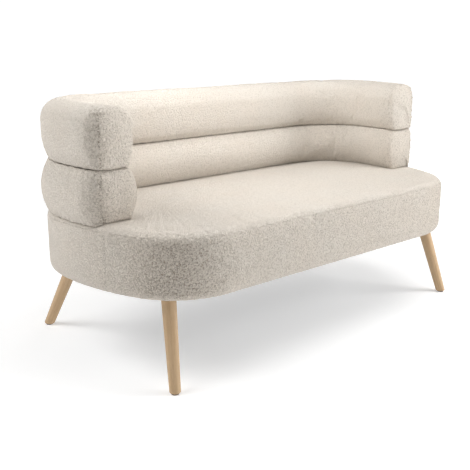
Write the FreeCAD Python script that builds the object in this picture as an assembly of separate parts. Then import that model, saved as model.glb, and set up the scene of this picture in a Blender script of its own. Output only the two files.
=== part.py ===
import FreeCAD, Part
import os
from math import acos, asin, cos, degrees, radians, sin, sqrt, tan

from FreeCAD import Vector

# Two-seat sofa: an upholstered seat block on four splayed wooden legs, and a low horseshoe
# back that runs round into the arms as two stacked padded rolls.
# Millimetres, +Z up, front towards -Y, origin on the floor under the middle of the sofa.

# ---- plan shape of the seat block (round corners, each made of two tangent arcs) ----
half_length = 735.5           # middle of the sofa to the widest point of the seat
seat_depth = 737.0            # front to back of the seat block
front_corner_radius = 238.0   # tight arc at the front corner
front_corner_turn = 66.5      # degrees turned on the tight arc
side_straight = 26.3          # between the slack arc along the arm and the back corner
back_corner_radius = 384.0    # slack arc from the back into the corner
back_side_radius = 273.0      # tight arc from the corner into the arm
back_corner_turn = 40.5       # degrees turned on the slack arc

# ---- heights ----
seat_underside = 249.0        # floor to the underside of the seat
seat_thickness = 193.0
lower_roll_height = 148.0     # top of the seat to the groove between the rolls
upper_roll_height = 170.0     # groove to the top of the back
seat_bottom_round = 30.0      # rounded lower edge of the seat
seat_top_round = 31.0         # rounded upper edge of the seat

# ---- back and arm rolls, as a section across the wall ----
groove_inset = 16.0           # seat outline to the outer groove
wall_thickness = 102.0        # outer groove to inner groove
lower_bulge_out = 28.0        # how far the lower roll swells past its outer groove
lower_bulge_in = 26.0         # and past its inner groove
lower_belly_out = 85.0        # groove down to the widest point outside
lower_belly_in = 74.0         # groove down to the widest point inside
upper_bulge = 19.0            # how far the upper roll swells past both grooves
upper_belly = 75.0            # groove up to its widest point
top_round = 54.0              # rounding of the top of the back
arm_setback = 262.0           # seat front to the front end of the arms
arm_end_round = 16.0          # rounding of the arm ends
end_seam_inset = 24.0         # seat outline in to the upright seam at the corner of an arm end
end_sweep_radius = 85.0       # curve from the swelling side of an arm to that seam, seen from above
end_sweep_top_round = 50.0    # rounding of the top where that curve cuts it

# ---- upholstery layers ----
cover_gauge = 3.0             # looped fabric with its backing
wadding_gauge = 8.0           # fibre wrap under the cover
soft_clearance = 0.3          # between one soft layer and the next
wrap_past = 40.0              # rolls and their hollows are drawn this far down into the seat
pocket_clearance = 1.0        # round a block or bolt that stands through a soft layer
boxing_seam_drop = 16.0       # seat top down to the seam of the border
cover_tuck = 14.0             # cover turned under the frame past the rounded edge
dust_cover_gauge = 1.0
dust_cover_inset = 34.0
staple_pitch = 60.0
staple_inset = 39.0           # seat outline to the row of staples
staple_length = 10.0
staple_wire = 0.8
felt_gauge = 3.0
felt_inset = 36.0

# ---- seat frame ----
ply = 18.0                    # plywood of the two seat rings
frame_inset = 30.0            # seat outline to the outer edge of the rings
ring_width = 90.0
frame_height = 93.0           # underside of the lower ring to the top of the upper ring
edge_board = 3.0              # bent hardboard round the rings
rail_gauge = 22.0             # solid timber rails between the rings
rail_setback = 4.0            # ring edge to the face of the front and rear rails
front_rail_overrun = 40.0     # rail past the end of the straight front
rear_rail_overrun = 60.0      # rail past the end of the straight back
end_rail_gap = 11.4           # face of an end rail to the nearest washer of the arm's bolts
cross_rail_gap = 40.0         # back bolt to the middle of a cross rail, towards the middle
leg_block = 120.0             # side of the block over each leg

# ---- zigzag springs ----
spring_pitch = 140.0
spring_wire = 3.6
spring_bar = 26.0             # straight part of each cross bar
spring_bend = 11.0            # radius of the turn between two bars
spring_seat = 98.0            # seat outline to the end bar of a spring
spring_end_gap = 150.0        # widest point of the seat in to the outermost spring's zone
clip_width = 20.0
clip_length = 26.0
clip_steel = 1.2

# ---- legs ----
leg_top_side = 140.0          # widest point of the seat in to the leg's centre, at the frame
front_leg_top = 109.0         # seat front to the front leg's centre, at the frame
rear_leg_top = 114.0          # seat back to the rear leg's centre, at the frame
rear_leg_top_side = 157.0
front_lean_side = 8.8         # degrees from upright, outwards
front_lean_out = 16.1         # degrees from upright, forwards
rear_lean_side = 12.7
rear_lean_out = 23.3
leg_top_radius = 21.5
leg_foot_radius = 16.0
foot_round = 3.0
glide_radius = 11.0
glide_height = 4.0
glide_nail_radius = 1.5
glide_nail_length = 15.0

# ---- fasteners ----
bolt_radius = 4.0             # M8
hanger_in_leg = 45.0
hanger_in_frame = 34.0
insert_radius = 6.0
insert_length = 20.0
insert_recess = 5.0
hole_clearance = 0.15         # radial, in drilled holes
washer_radius = 10.0
washer_gauge = 1.6
head_radius = 7.0
head_height = 5.3
tee_flange_radius = 10.0
tee_flange_gauge = 1.5
tee_barrel_radius = 5.2
tee_barrel_length = 12.0
bolt_end_showing = 2.0        # bolt's end past the top of its nut

# ---- back frame ----
back_rail_depth = 40.0        # across the wall
back_rail_gauge = 24.0
top_rail_drop = 46.0          # top of the back down to the top rail
skin_gauge = 3.0
end_board_gauge = 12.0
end_board_cover = 25.0        # arm end to the face of the end board
post_gauge = 22.0
post_width = 40.0
post_end_gap = 40.0           # end board to the middle of the last post
post_setback = 3.0            # outer face of the rails to the face of the posts
posts_each_side = 4
mount_block_width = 50.0
back_mount_x = 285.0          # middle of the back to the first bolt
arm_mount_gaps = (80.0, 190.0)  # frame end to the two bolts of an arm

# ---- derived sizes ----
seat_top = seat_underside + seat_thickness
groove_z = seat_top + lower_roll_height
top_z = groove_z + upper_roll_height
outer_swell = lower_bulge_out - groove_inset
front_y = -(seat_depth + outer_swell) / 2
back_y = front_y + seat_depth
arm_end_y = front_y + arm_setback
inner_groove = groove_inset + wall_thickness
wall_middle = (groove_inset + inner_groove) / 2
layer_1 = cover_gauge + soft_clearance
layer_2 = layer_1 + wadding_gauge + soft_clearance
frame_z = seat_underside + cover_gauge
ring_top_z = frame_z + frame_height
past = 1.0                    # every cutting body runs on this far past what it cuts
up = Vector(0, 0, 1)


def box(x0, x1, y0, y1, z0, z1):
    """Box between two limits on each axis, given in either order."""
    low = Vector(min(x0, x1), min(y0, y1), min(z0, z1))
    return Part.makeBox(abs(x1 - x0), abs(y1 - y0), abs(z1 - z0), low)


def arc_chain():
    """Centre, radius, start and end angle of the four arcs of the right side, front to back."""
    front_turn = radians(front_corner_turn)
    back_turn = radians(back_corner_turn)
    back_step = back_corner_radius - back_side_radius
    corner_c = Vector(half_length - back_side_radius, 0, 0)
    back_c = Vector(corner_c.x - back_step * sin(back_turn), back_y - back_corner_radius, 0)
    corner_c.y = back_c.y + back_step * cos(back_turn)
    front_c = Vector(0, front_y + front_corner_radius, 0)
    side_y = corner_c.y - side_straight
    front_step = (side_y - front_c.y) / cos(front_turn)
    side_radius = front_corner_radius + front_step
    side_c = Vector(half_length - side_radius, side_y, 0)
    front_c.x = side_c.x + front_step * sin(front_turn)
    split = 90 - back_corner_turn
    return [(front_c, front_corner_radius, -90, front_corner_turn - 90),
            (side_c, side_radius, front_corner_turn - 90, 0),
            (corner_c, back_side_radius, 0, split),
            (back_c, back_corner_radius, split, 90)]


arcs = arc_chain()


def on_circle(centre, radius, angle):
    """Point on a circle in plan, angle in degrees from +X."""
    return centre + Vector(radius * cos(radians(angle)), radius * sin(radians(angle)), 0)


def plan_face(inset, z):
    """The seat's plan shape, moved in by inset, as a flat face at height z."""
    right = [[on_circle(c, r - inset, a) for a in (a0, (a0 + a1) / 2, a1)] for c, r, a0, a1 in arcs]
    left = [[Vector(-p.x, p.y, 0) for p in reversed(three)] for three in reversed(right)]
    chain = right + left
    edges = []
    for three, following in zip(chain, chain[1:] + chain[:1]):
        edges.append(Part.Arc(*three).toShape())
        if three[2].distanceToPoint(following[0]) > 0.01:
            edges.append(Part.LineSegment(three[2], following[0]).toShape())
    face = Part.Face(Part.Wire(edges))
    face.translate(up * z)
    return face


def edges_at(shape, z):
    """Edges that lie flat at height z."""
    return [e for e in shape.Edges if abs(e.BoundBox.ZMin - z) < 0.01 and abs(e.BoundBox.ZMax - z) < 0.01]


def seat_block(inset, z0, z1, bottom_round=0.0, top_round_off=0.0):
    """Prism of the plan shape between two heights, with rounded lower and upper edges."""
    block = plan_face(inset, z0).extrude(up * (z1 - z0))
    if bottom_round > 0:
        block = block.makeFillet(bottom_round, edges_at(block, z0))
    if top_round_off > 0:
        block = block.makeFillet(top_round_off, edges_at(block, z1))
    return block


def ring(outer, inner, z0, z1):
    """Flat band between two insets of the plan shape."""
    return seat_block(outer, z0, z1).cut(seat_block(inner, z0 - past, z1 + past))


def wall_point(t, z):
    """Point of the wall's section at the middle of the back, t in from the seat outline."""
    return Vector(0, back_y - t, z)


def carry(section):
    """Carries a flat section at the middle of the back round to both arm ends."""
    side_c, corner_c, back_c = arcs[1][0], arcs[2][0], arcs[3][0]
    pieces = [section.extrude(Vector(back_c.x, 0, 0))]
    face = section.translated(Vector(back_c.x, 0, 0))
    for centre, turn in ((back_c, back_corner_turn), (corner_c, 90 - back_corner_turn)):
        pieces.append(face.revolve(centre, up, -turn))
        face = face.rotated(centre, up, -turn)
    side = Vector(0, -side_straight, 0)
    pieces.append(face.extrude(side))
    pieces.append(face.translated(side).revolve(side_c, up, front_corner_turn - 90))
    pieces += [piece.mirror(Vector(0, 0, 0), Vector(1, 0, 0)) for piece in pieces]
    return pieces[0].fuse(pieces[1:]).removeSplitter()


def cut_arm_ends(shape, y):
    """Removes everything in front of y."""
    reach = 2 * half_length
    return shape.cut(box(-reach, reach, y - reach, y, 0, reach))


def round_arm_ends(shape, y, radius):
    """Rounds the edges of the two flat arm ends."""
    ends = [e for e in shape.Edges if abs(e.BoundBox.YMin - y) < 0.01 and abs(e.BoundBox.YMax - y) < 0.01]
    return shape.makeFillet(radius, ends)


def swell(bulge, belly, inset, rise):
    """Reach of a bulging side past the groove, at a height rise above its widest level."""
    radius = (bulge ** 2 + belly ** 2) / (2 * bulge)
    return bulge - radius + sqrt((radius - inset) ** 2 - rise ** 2)


def side_curve(t_groove, sign, bulge, belly, inset, belly_z, z0, z1):
    """Arc of a bulging side from z0 to z1; sign is -1 outside and +1 inside."""
    points = []
    for z in (z0, (z0 + z1) / 2, z1):
        points.append(wall_point(t_groove + sign * swell(bulge, belly, inset, z - belly_z), z))
    return Part.Arc(*points).toShape()


def line(a, b):
    return Part.LineSegment(a, b).toShape()


def end_of(edge, last=True):
    """First or last point of an edge."""
    return edge.valueAt(edge.LastParameter if last else edge.FirstParameter)


def upper_section(inset, bottom_z):
    """Section of the upper roll, moved in by inset, cut off flat at bottom_z."""
    belly_z = groove_z + upper_belly
    shoulder_z = top_z - top_round
    left = side_curve(groove_inset, -1, upper_bulge, upper_belly, inset, belly_z, bottom_z, belly_z)
    right = side_curve(inner_groove, 1, upper_bulge, upper_belly, inset, belly_z, belly_z, bottom_z)
    t_left = groove_inset - upper_bulge
    t_right = inner_groove + upper_bulge
    reach = top_round - inset
    slant = reach * sqrt(0.5)
    over_left = Part.Arc(wall_point(t_left + inset, shoulder_z),
                         wall_point(t_left + top_round - slant, shoulder_z + slant),
                         wall_point(t_left + top_round, top_z - inset)).toShape()
    over_right = Part.Arc(wall_point(t_right - top_round, top_z - inset),
                          wall_point(t_right - top_round + slant, shoulder_z + slant),
                          wall_point(t_right - inset, shoulder_z)).toShape()
    edges = [left, line(end_of(left), end_of(over_left, False)), over_left,
             line(end_of(over_left), end_of(over_right, False)), over_right,
             line(end_of(over_right), end_of(right, False)), right,
             line(end_of(right), end_of(left, False))]
    return Part.Face(Part.Wire(edges))


def lower_section(inset):
    """Section of the lower roll, moved in by inset; it runs down past the top of the seat."""
    top = groove_z - soft_clearance / 2 - inset
    low = seat_top - seat_top_round / 2
    left = side_curve(groove_inset, -1, lower_bulge_out, lower_belly_out, inset,
                      groove_z - lower_belly_out, low, top)
    right = side_curve(inner_groove, 1, lower_bulge_in, lower_belly_in, inset,
                       groove_z - lower_belly_in, top, low)
    foot_left = Vector(0, end_of(left, False).y, seat_top - wrap_past)
    foot_right = Vector(0, end_of(right).y, seat_top - wrap_past)
    edges = [left, line(end_of(left), end_of(right, False)), right, line(end_of(right), foot_right),
             line(foot_right, foot_left), line(foot_left, end_of(left, False))]
    return Part.Face(Part.Wire(edges))


def end_sweep():
    """Centre of the curve that runs from just outside the swelling side of the right arm to its corner
    seam, and the point where it starts."""
    side_c, radius = arcs[1][:2]
    widest = radius + lower_bulge_out - groove_inset + past
    to_centre = widest - end_sweep_radius
    to_seam = radius - end_seam_inset
    turn = acos((to_centre ** 2 + to_seam ** 2 - end_sweep_radius ** 2) / (2 * to_centre * to_seam))
    angle = degrees(asin((arm_end_y - side_c.y) / to_seam) + turn)
    return on_circle(side_c, to_centre, angle), on_circle(side_c, widest, angle)


def beyond_sweep(inset):
    """What the two arm ends lose outside that curve, moved in by inset."""
    centre, start = end_sweep()
    low = seat_top - 2 * wrap_past
    high = top_z - inset + past
    barrel = Part.makeCylinder(end_sweep_radius - inset, high - low, Vector(centre.x, centre.y, low))
    barrel = barrel.makeFillet(end_sweep_top_round - inset, edges_at(barrel, high))
    block = box(centre.x, 2 * half_length, arm_end_y - past, start.y, low - past, high + past)
    right = block.cut(barrel)
    return [right, right.mirror(Vector(0, 0, 0), Vector(1, 0, 0))]


def finished_roll(section, inset):
    """Roll carried round the sofa, with its two arm ends cut, rounded and swept in to their seams."""
    y = arm_end_y + inset
    roll = cut_arm_ends(carry(section), y)
    return round_arm_ends(roll, y, arm_end_round - inset).cut(beyond_sweep(inset))


def upper_roll(inset):
    return finished_roll(upper_section(inset, groove_z + soft_clearance / 2 + inset), inset)


def lower_roll(inset):
    """Lower roll, trimmed to lie on the rounded top of the seat."""
    grown = soft_clearance + inset
    seat = seat_block(-grown, seat_top - 2 * wrap_past, seat_top + grown, 0, seat_top_round + grown)
    return finished_roll(lower_section(inset), inset).cut(seat)


def mirrored(shape):
    return shape.mirror(Vector(0, 0, 0), Vector(1, 0, 0))


def joined(shapes):
    """Separate solids kept together in one node."""
    return Part.makeCompound(shapes)


def outline_length():
    """Half of the seat's outline, middle of the back to middle of the front."""
    return arcs[3][0].x + sum(r * radians(a1 - a0) for c, r, a0, a1 in arcs) + side_straight + arcs[0][0].x


def station(s):
    """Outline point at distance s from the middle of the back, and its outward angle."""
    run = abs(s)
    point = Vector(min(run, arcs[3][0].x), back_y, 0)
    angle = 90.0
    run -= arcs[3][0].x
    straight = {3: 0.0, 2: side_straight, 1: 0.0, 0: arcs[0][0].x}
    for index in (3, 2, 1, 0):
        centre, radius, low, high = arcs[index]
        if run > 0:
            turned = min(degrees(run / radius), high - low)
            angle = high - turned
            point = on_circle(centre, radius, angle)
            run -= radius * radians(high - low)
        if run > 0:
            forward = Vector(sin(radians(angle)), -cos(radians(angle)), 0)
            point = point + forward * min(run, straight[index])
            run -= straight[index]
    if s < 0:
        return Vector(-point.x, point.y, 0), 180 - angle
    return point, angle


def wall_place(s, t):
    """Point at station s, t in from the seat outline."""
    point, angle = station(s)
    return on_circle(point, -t, angle)


def place_at(shape, s):
    """Moves a shape built at the middle of the back, with the outline at y = 0, to station s."""
    point, angle = station(s)
    moved = shape.rotated(Vector(0, 0, 0), up, angle - 90)
    return moved.translated(point)


def wall_box(s, t0, t1, width, z0, z1):
    """Upright box across the wall at station s, between two insets."""
    return place_at(box(-width / 2, width / 2, -t1, -t0, z0, z1), s)


def wall_rod(s, t, radius, z0, z1):
    """Upright cylinder at station s."""
    return place_at(Part.makeCylinder(radius, z1 - z0, Vector(0, -t, z0)), s)


def wall_band(t0, t1, z0, z1, y):
    """Flat strip carried round the wall between two insets, ending at y on both arms."""
    corners = [wall_point(t0, z0), wall_point(t1, z0), wall_point(t1, z1), wall_point(t0, z1)]
    return cut_arm_ends(carry(Part.Face(Part.makePolygon(corners + corners[:1]))), y)


def save(name, shape):
    """Writes one node."""
    shape.exportStep("parts/" + name + ".step")
    print(name, len(shape.Solids), "solids", round(shape.Volume / 1000, 1), "cm3")


# ---- places shared by several parts ----
bolt_hole_radius = bolt_radius + hole_clearance
rail_low = frame_z + ply
rail_high = ring_top_z - ply
spring_z = ring_top_z + clip_steel + soft_clearance + spring_wire / 2
felt_z = spring_z + spring_wire / 2 + clip_steel + 2 * soft_clearance
foam_z = felt_z + felt_gauge + soft_clearance
wall_t0 = wall_middle - back_rail_depth / 2
wall_t1 = wall_middle + back_rail_depth / 2
back_rail_z = seat_top + soft_clearance
back_rail_top = back_rail_z + back_rail_gauge
top_rail_top = top_z - top_rail_drop
board_y = arm_end_y + end_board_cover
frame_end_y = board_y + end_board_gauge
side_centre = arcs[1][0]
side_radius = arcs[1][1]
frame_end_s = arcs[3][0].x + sum(r * radians(a1 - a0) for c, r, a0, a1 in arcs[2:]) \
    + side_straight + side_radius * asin((side_centre.y - frame_end_y) / side_radius)
post_pitch = (frame_end_s - post_end_gap) / (posts_each_side - 0.5)
post_stations = [side * (i + 0.5) * post_pitch for side in (-1, 1) for i in range(posts_each_side)]
mount_distances = [back_mount_x] + [frame_end_s - gap for gap in arm_mount_gaps]
mount_stations = [side * s for side in (-1, 1) for s in mount_distances]


# ---- legs ----
leg_places = {
    "front_right": (Vector(half_length - leg_top_side, front_y + front_leg_top, frame_z),
                    Vector(tan(radians(front_lean_side)), -tan(radians(front_lean_out)), -1)),
    "rear_right": (Vector(half_length - rear_leg_top_side, back_y - rear_leg_top, frame_z),
                   Vector(tan(radians(rear_lean_side)), tan(radians(rear_lean_out)), -1)),
}
for name, (top, lean) in list(leg_places.items()):
    left_name = name.replace("right", "left")
    leg_places[left_name] = (Vector(-top.x, top.y, top.z), Vector(-lean.x, lean.y, lean.z))


def leg_axis_point(top, lean, z):
    """Point of the leg's axis at height z."""
    return top + lean * (top.z - z)


def leg_cone(top, lean, grown, z0, z1):
    """Tapered leg between two level cuts, with its radius grown for a clearance."""
    length = (leg_axis_point(top, lean, glide_height) - top).Length
    taper = (leg_top_radius - leg_foot_radius) / length
    spare = 2 * leg_top_radius
    way = Vector(lean).normalize()
    cone = Part.makeCone(leg_top_radius + grown + taper * spare, leg_foot_radius + grown - taper * spare,
                         length + 2 * spare, top - way * spare, way)
    reach = 2 * half_length
    return cone.common(box(-reach, reach, -reach, reach, z0, z1))


def along_leg(top, lean, radius, start, length):
    """Cylinder on the leg's axis; start is measured down from the frame, so up is negative."""
    way = Vector(lean).normalize()
    return Part.makeCylinder(radius, length, top + way * start, way)


def make_leg(top, lean):
    leg = leg_cone(top, lean, 0, glide_height, frame_z)
    leg = leg.makeFillet(foot_round, edges_at(leg, glide_height))
    foot = leg_axis_point(top, lean, glide_height)
    nail_hole = Part.makeCylinder(glide_nail_radius + hole_clearance, glide_nail_length + past, foot)
    rise = 2 * leg_top_radius
    bolt_hole = along_leg(top, lean, bolt_hole_radius, -rise, rise + hanger_in_leg + past)
    return leg.cut(bolt_hole).cut(nail_hole)


def make_glide(top, lean):
    """Nylon foot with its nail."""
    foot = leg_axis_point(top, lean, glide_height)
    disc = Part.makeCylinder(glide_radius, glide_height, Vector(foot.x, foot.y, 0))
    nail = Part.makeCylinder(glide_nail_radius, glide_nail_length + glide_height, Vector(foot.x, foot.y, 0))
    return disc.fuse(nail).removeSplitter()


def make_insert(top, lean):
    """Threaded bush that the hanger bolt screws into."""
    start = -insert_recess - insert_length
    tube = along_leg(top, lean, insert_radius, start, insert_length)
    return tube.cut(along_leg(top, lean, bolt_hole_radius, start - past, insert_length + 2 * past))


def insert_hole(top, lean):
    """Drilling in the frame for the insert, and above it for the bolt."""
    depth = insert_recess + insert_length
    wide = along_leg(top, lean, insert_radius + hole_clearance, -depth, depth + 2 * insert_radius)
    return wide.fuse(along_leg(top, lean, bolt_hole_radius, -hanger_in_frame - past, hanger_in_frame))


for name, (top, lean) in leg_places.items():
    save("leg_" + name, make_leg(top, lean))
    save("glide_" + name, make_glide(top, lean))
hanger_length = hanger_in_frame + hanger_in_leg
save("hanger_bolts", joined([along_leg(top, lean, bolt_radius, -hanger_in_frame, hanger_length)
                             for top, lean in leg_places.values()]))
save("threaded_inserts", joined([make_insert(top, lean) for top, lean in leg_places.values()]))
insert_holes = joined([insert_hole(top, lean) for top, lean in leg_places.values()])
opening_low_z = seat_underside - dust_cover_gauge - past
leg_openings = joined([leg_cone(top, lean, pocket_clearance, opening_low_z, frame_z)
                       for top, lean in leg_places.values()])


# ---- seat frame ----
bolt_holes = joined([wall_rod(s, wall_middle, bolt_hole_radius, rail_high - past, seat_top)
                     for s in mount_stations])
frame_plan = seat_block(frame_inset, frame_z, ring_top_z)
ring_inset = frame_inset + ring_width
save("seat_base_ring", ring(frame_inset, ring_inset, frame_z, rail_low).cut(insert_holes))
save("seat_top_ring", ring(frame_inset, ring_inset, rail_high, ring_top_z).cut(bolt_holes))

half_block = leg_block / 2
for name, (top, lean) in leg_places.items():
    block = box(top.x - half_block, top.x + half_block, top.y - half_block, top.y + half_block,
                rail_low, rail_high)
    save("leg_block_" + name, block.common(frame_plan).cut(insert_holes))

front_rail_y = front_y + frame_inset + rail_setback
rear_rail_y = back_y - frame_inset - rail_setback
front_rail_x = arcs[0][0].x + front_rail_overrun
rear_rail_x = arcs[3][0].x + rear_rail_overrun
front_rail = box(-front_rail_x, front_rail_x, front_rail_y, front_rail_y + rail_gauge, rail_low, rail_high)
rear_rail = box(-rear_rail_x, rear_rail_x, rear_rail_y, rear_rail_y - rail_gauge, rail_low, rail_high)
save("seat_front_rail", front_rail.common(frame_plan))
save("seat_rear_rail", rear_rail.common(frame_plan))

arm_bolt_x = min(wall_place(s, wall_middle).x for s in mount_distances[1:])
end_rail_x = arm_bolt_x - washer_radius - end_rail_gap
end_rail = box(end_rail_x - rail_gauge, end_rail_x, leg_places["front_right"][0].y + half_block,
               leg_places["rear_right"][0].y - half_block, rail_low, rail_high)
save("seat_end_rail_right", end_rail)
save("seat_end_rail_left", mirrored(end_rail))

cross_rail_x = back_mount_x - cross_rail_gap
cross_rail = box(cross_rail_x - rail_gauge / 2, cross_rail_x + rail_gauge / 2,
                 front_rail_y + rail_gauge, rear_rail_y - rail_gauge, rail_low, rail_high)
save("seat_cross_rail_right", cross_rail)
save("seat_cross_rail_left", mirrored(cross_rail))

board_inset = frame_inset - soft_clearance - edge_board
save("seat_edge_board", ring(board_inset, board_inset + edge_board, frame_z + soft_clearance, ring_top_z))


# ---- springs ----
spring_front = front_y + spring_seat
spring_rear = back_y - spring_seat
springs_each_side = int((half_length - spring_end_gap) / spring_pitch)
spring_places = [side * (i + 0.5) * spring_pitch for side in (-1, 1) for i in range(springs_each_side)]


def make_spring():
    """Zigzag wire: cross bars joined by half turns, left and right by turns."""
    turns = round((spring_rear - spring_front) / (2 * spring_bend))
    step = (spring_rear - spring_front) / turns
    edges = []
    side = 1
    for i in range(turns + 1):
        y = spring_front + i * step
        near = Vector(-side * spring_bar / 2, y, spring_z)
        far = Vector(side * spring_bar / 2, y, spring_z)
        edges.append(line(near, far))
        if i < turns:
            turn = far + Vector(side * step / 2, step / 2, 0)
            edges.append(Part.Arc(far, turn, far + Vector(0, step, 0)).toShape())
        side = -side
    start = end_of(edges[0], False)
    circle = Part.Wire(Part.makeCircle(spring_wire / 2, start, Vector(1, 0, 0)))
    return Part.Wire(edges).makePipeShell([circle], True, False)


def make_clip(x, y, inward):
    """Steel clip nailed to the ring, folded round the end bar on the side that it pulls to."""
    x0 = x - clip_width / 2
    x1 = x + clip_width / 2
    bend_y = y + inward * (spring_wire / 2 + soft_clearance)
    fold_y = bend_y + inward * clip_steel
    hook_z = spring_z + spring_wire / 2 + soft_clearance
    plate = box(x0, x1, fold_y, fold_y - inward * clip_length, ring_top_z, ring_top_z + clip_steel)
    bend = box(x0, x1, fold_y, bend_y, ring_top_z, hook_z + clip_steel)
    hook = box(x0, x1, fold_y, fold_y - inward * clip_length / 2, hook_z, hook_z + clip_steel)
    return plate.fuse([bend, hook]).removeSplitter()


spring = make_spring()
save("zigzag_springs", joined([spring.translated(Vector(x, 0, 0)) for x in spring_places]))
save("spring_clips", joined([make_clip(x, y, inward) for x in spring_places
                             for y, inward in ((spring_front, 1), (spring_rear, -1))]))


# ---- seat upholstery ----
pocket_t0 = wall_t0 - pocket_clearance
pocket_t1 = wall_t1 + pocket_clearance
pocket_width = mount_block_width + 2 * pocket_clearance
block_pockets = joined([wall_box(s, pocket_t0, pocket_t1, pocket_width, ring_top_z, seat_top - cover_gauge)
                        for s in mount_stations])
cover_hole_radius = bolt_radius + pocket_clearance
cover_holes = joined([wall_rod(s, wall_middle, cover_hole_radius, seat_top - layer_1, seat_top + past)
                      for s in mount_stations])


def rounded_seat(inset):
    """The whole seat block with both its edges rounded, moved in by inset."""
    return seat_block(inset, seat_underside + inset, seat_top - inset, seat_bottom_round - inset,
                      seat_top_round - inset)


felt = seat_block(felt_inset, felt_z, felt_z + felt_gauge).cut(block_pockets)
save("spring_felt", felt)

foam = seat_block(layer_2, foam_z, seat_top - layer_2, 0, seat_top_round - layer_2)
save("seat_foam", foam.cut(block_pockets))

under_cover = rounded_seat(layer_1)
side_strip = seat_block(layer_2, seat_underside, foam_z - soft_clearance)
side_strip = side_strip.cut(seat_block(board_inset - soft_clearance, seat_underside - past, foam_z))
save("seat_side_foam", under_cover.common(side_strip))

core_inset = layer_1 + wadding_gauge
core_round = seat_top_round - core_inset
wadding_core = seat_block(core_inset, seat_underside - past, seat_top - core_inset, 0, core_round)
save("seat_wadding", under_cover.cut(wadding_core).cut(block_pockets))

tuck_hole = seat_block(seat_bottom_round + cover_tuck, seat_underside - past, frame_z + past)
cover = rounded_seat(0).cut(rounded_seat(cover_gauge)).cut(tuck_hole).cut(leg_openings).cut(cover_holes)
above_seam = seat_block(-past, seat_top - boxing_seam_drop, seat_top + past)
save("seat_top_cover", cover.common(above_seam))
save("seat_border_cover", cover.cut(above_seam))

dust_cover = seat_block(dust_cover_inset, seat_underside - dust_cover_gauge, seat_underside)
save("dust_cover", dust_cover.cut(leg_openings))

staple_z = seat_underside - dust_cover_gauge
staple_count = int(outline_length() / staple_pitch)
staple_step = outline_length() / staple_count
staples = []
for i in range(staple_count):
    for side in (-1, 1):
        s = side * (i + 0.5) * staple_step
        staple = wall_box(s, staple_inset - staple_wire / 2, staple_inset + staple_wire / 2, staple_length,
                          staple_z - staple_wire, staple_z)
        if staple.distToShape(leg_openings)[0] > staple_length / 2:
            staples.append(staple)
save("dust_cover_staples", joined(staples))


# ---- back frame ----
def back_rail(z0, z1):
    return wall_band(wall_t0, wall_t1, z0, z1, frame_end_y)


nut_hole_radius = tee_barrel_radius + hole_clearance
nut_holes = joined([wall_rod(s, wall_middle, nut_hole_radius, back_rail_z - past, back_rail_top + past)
                    for s in mount_stations])
save("back_bottom_rail", back_rail(back_rail_z, back_rail_top).cut(nut_holes))

post_t0 = wall_t0 + post_setback
post_top = top_rail_top - back_rail_gauge
notches = joined([wall_box(s, post_t0 - hole_clearance, post_t0 + post_gauge + hole_clearance,
                           post_width + 2 * hole_clearance, back_rail_top, post_top)
                  for s in post_stations])
middle_rail_z = groove_z - back_rail_gauge / 2
save("back_middle_rail", back_rail(middle_rail_z, middle_rail_z + back_rail_gauge).cut(notches))
save("back_top_rail", back_rail(post_top, top_rail_top))
for number, s in enumerate(sorted(post_stations)):
    post = wall_box(s, post_t0, post_t0 + post_gauge, post_width, back_rail_top, post_top)
    save("back_post_" + str(number + 1), post)

ends = wall_band(wall_t0, wall_t1, back_rail_z, top_rail_top, board_y)
board = ends.common(box(0, half_length, board_y, frame_end_y, seat_top, top_z))
save("arm_end_board_right", board)
save("arm_end_board_left", mirrored(board))

save("back_outer_skin", wall_band(wall_t0 - soft_clearance - skin_gauge, wall_t0 - soft_clearance,
                                  back_rail_z, top_rail_top, board_y))
save("back_inner_skin", wall_band(wall_t1 + soft_clearance, wall_t1 + soft_clearance + skin_gauge,
                                  back_rail_z, top_rail_top, board_y))

# ---- bolts that hold the back to the seat ----
blocks = [wall_box(s, wall_t0, wall_t1, mount_block_width, ring_top_z, seat_top - layer_1)
          for s in mount_stations]
save("back_mount_blocks", joined(blocks).cut(bolt_holes))
washer_z = rail_high - washer_gauge
nut_top = back_rail_top + tee_flange_gauge
bolt_top = nut_top + bolt_end_showing


def bolt_passage(s):
    """Clear way for a back bolt through a washer or a nut."""
    return wall_rod(s, wall_middle, bolt_hole_radius, washer_z - past, bolt_top)


def make_back_bolt(s):
    """Hexagon bolt up through the ring, the block and the bottom rail."""
    points = [on_circle(Vector(0, -wall_middle, 0), head_radius, 60 * i) for i in range(7)]
    head = Part.Face(Part.makePolygon(points)).extrude(up * head_height)
    head = place_at(head.translated(up * (washer_z - head_height)), s)
    return head.fuse(wall_rod(s, wall_middle, bolt_radius, washer_z - past, bolt_top))


def make_washer(s):
    return wall_rod(s, wall_middle, washer_radius, washer_z, rail_high).cut(bolt_passage(s))


def make_tee_nut(s):
    """Flange on top of the bottom rail, with its barrel down in the rail."""
    flange = wall_rod(s, wall_middle, tee_flange_radius, back_rail_top, nut_top)
    barrel = wall_rod(s, wall_middle, tee_barrel_radius, back_rail_top - tee_barrel_length, nut_top)
    return flange.fuse(barrel).removeSplitter().cut(bolt_passage(s))


save("back_bolts", joined([make_back_bolt(s) for s in mount_stations]))
save("back_bolt_washers", joined([make_washer(s) for s in mount_stations]))
save("back_tee_nuts", joined([make_tee_nut(s) for s in mount_stations]))

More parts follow.
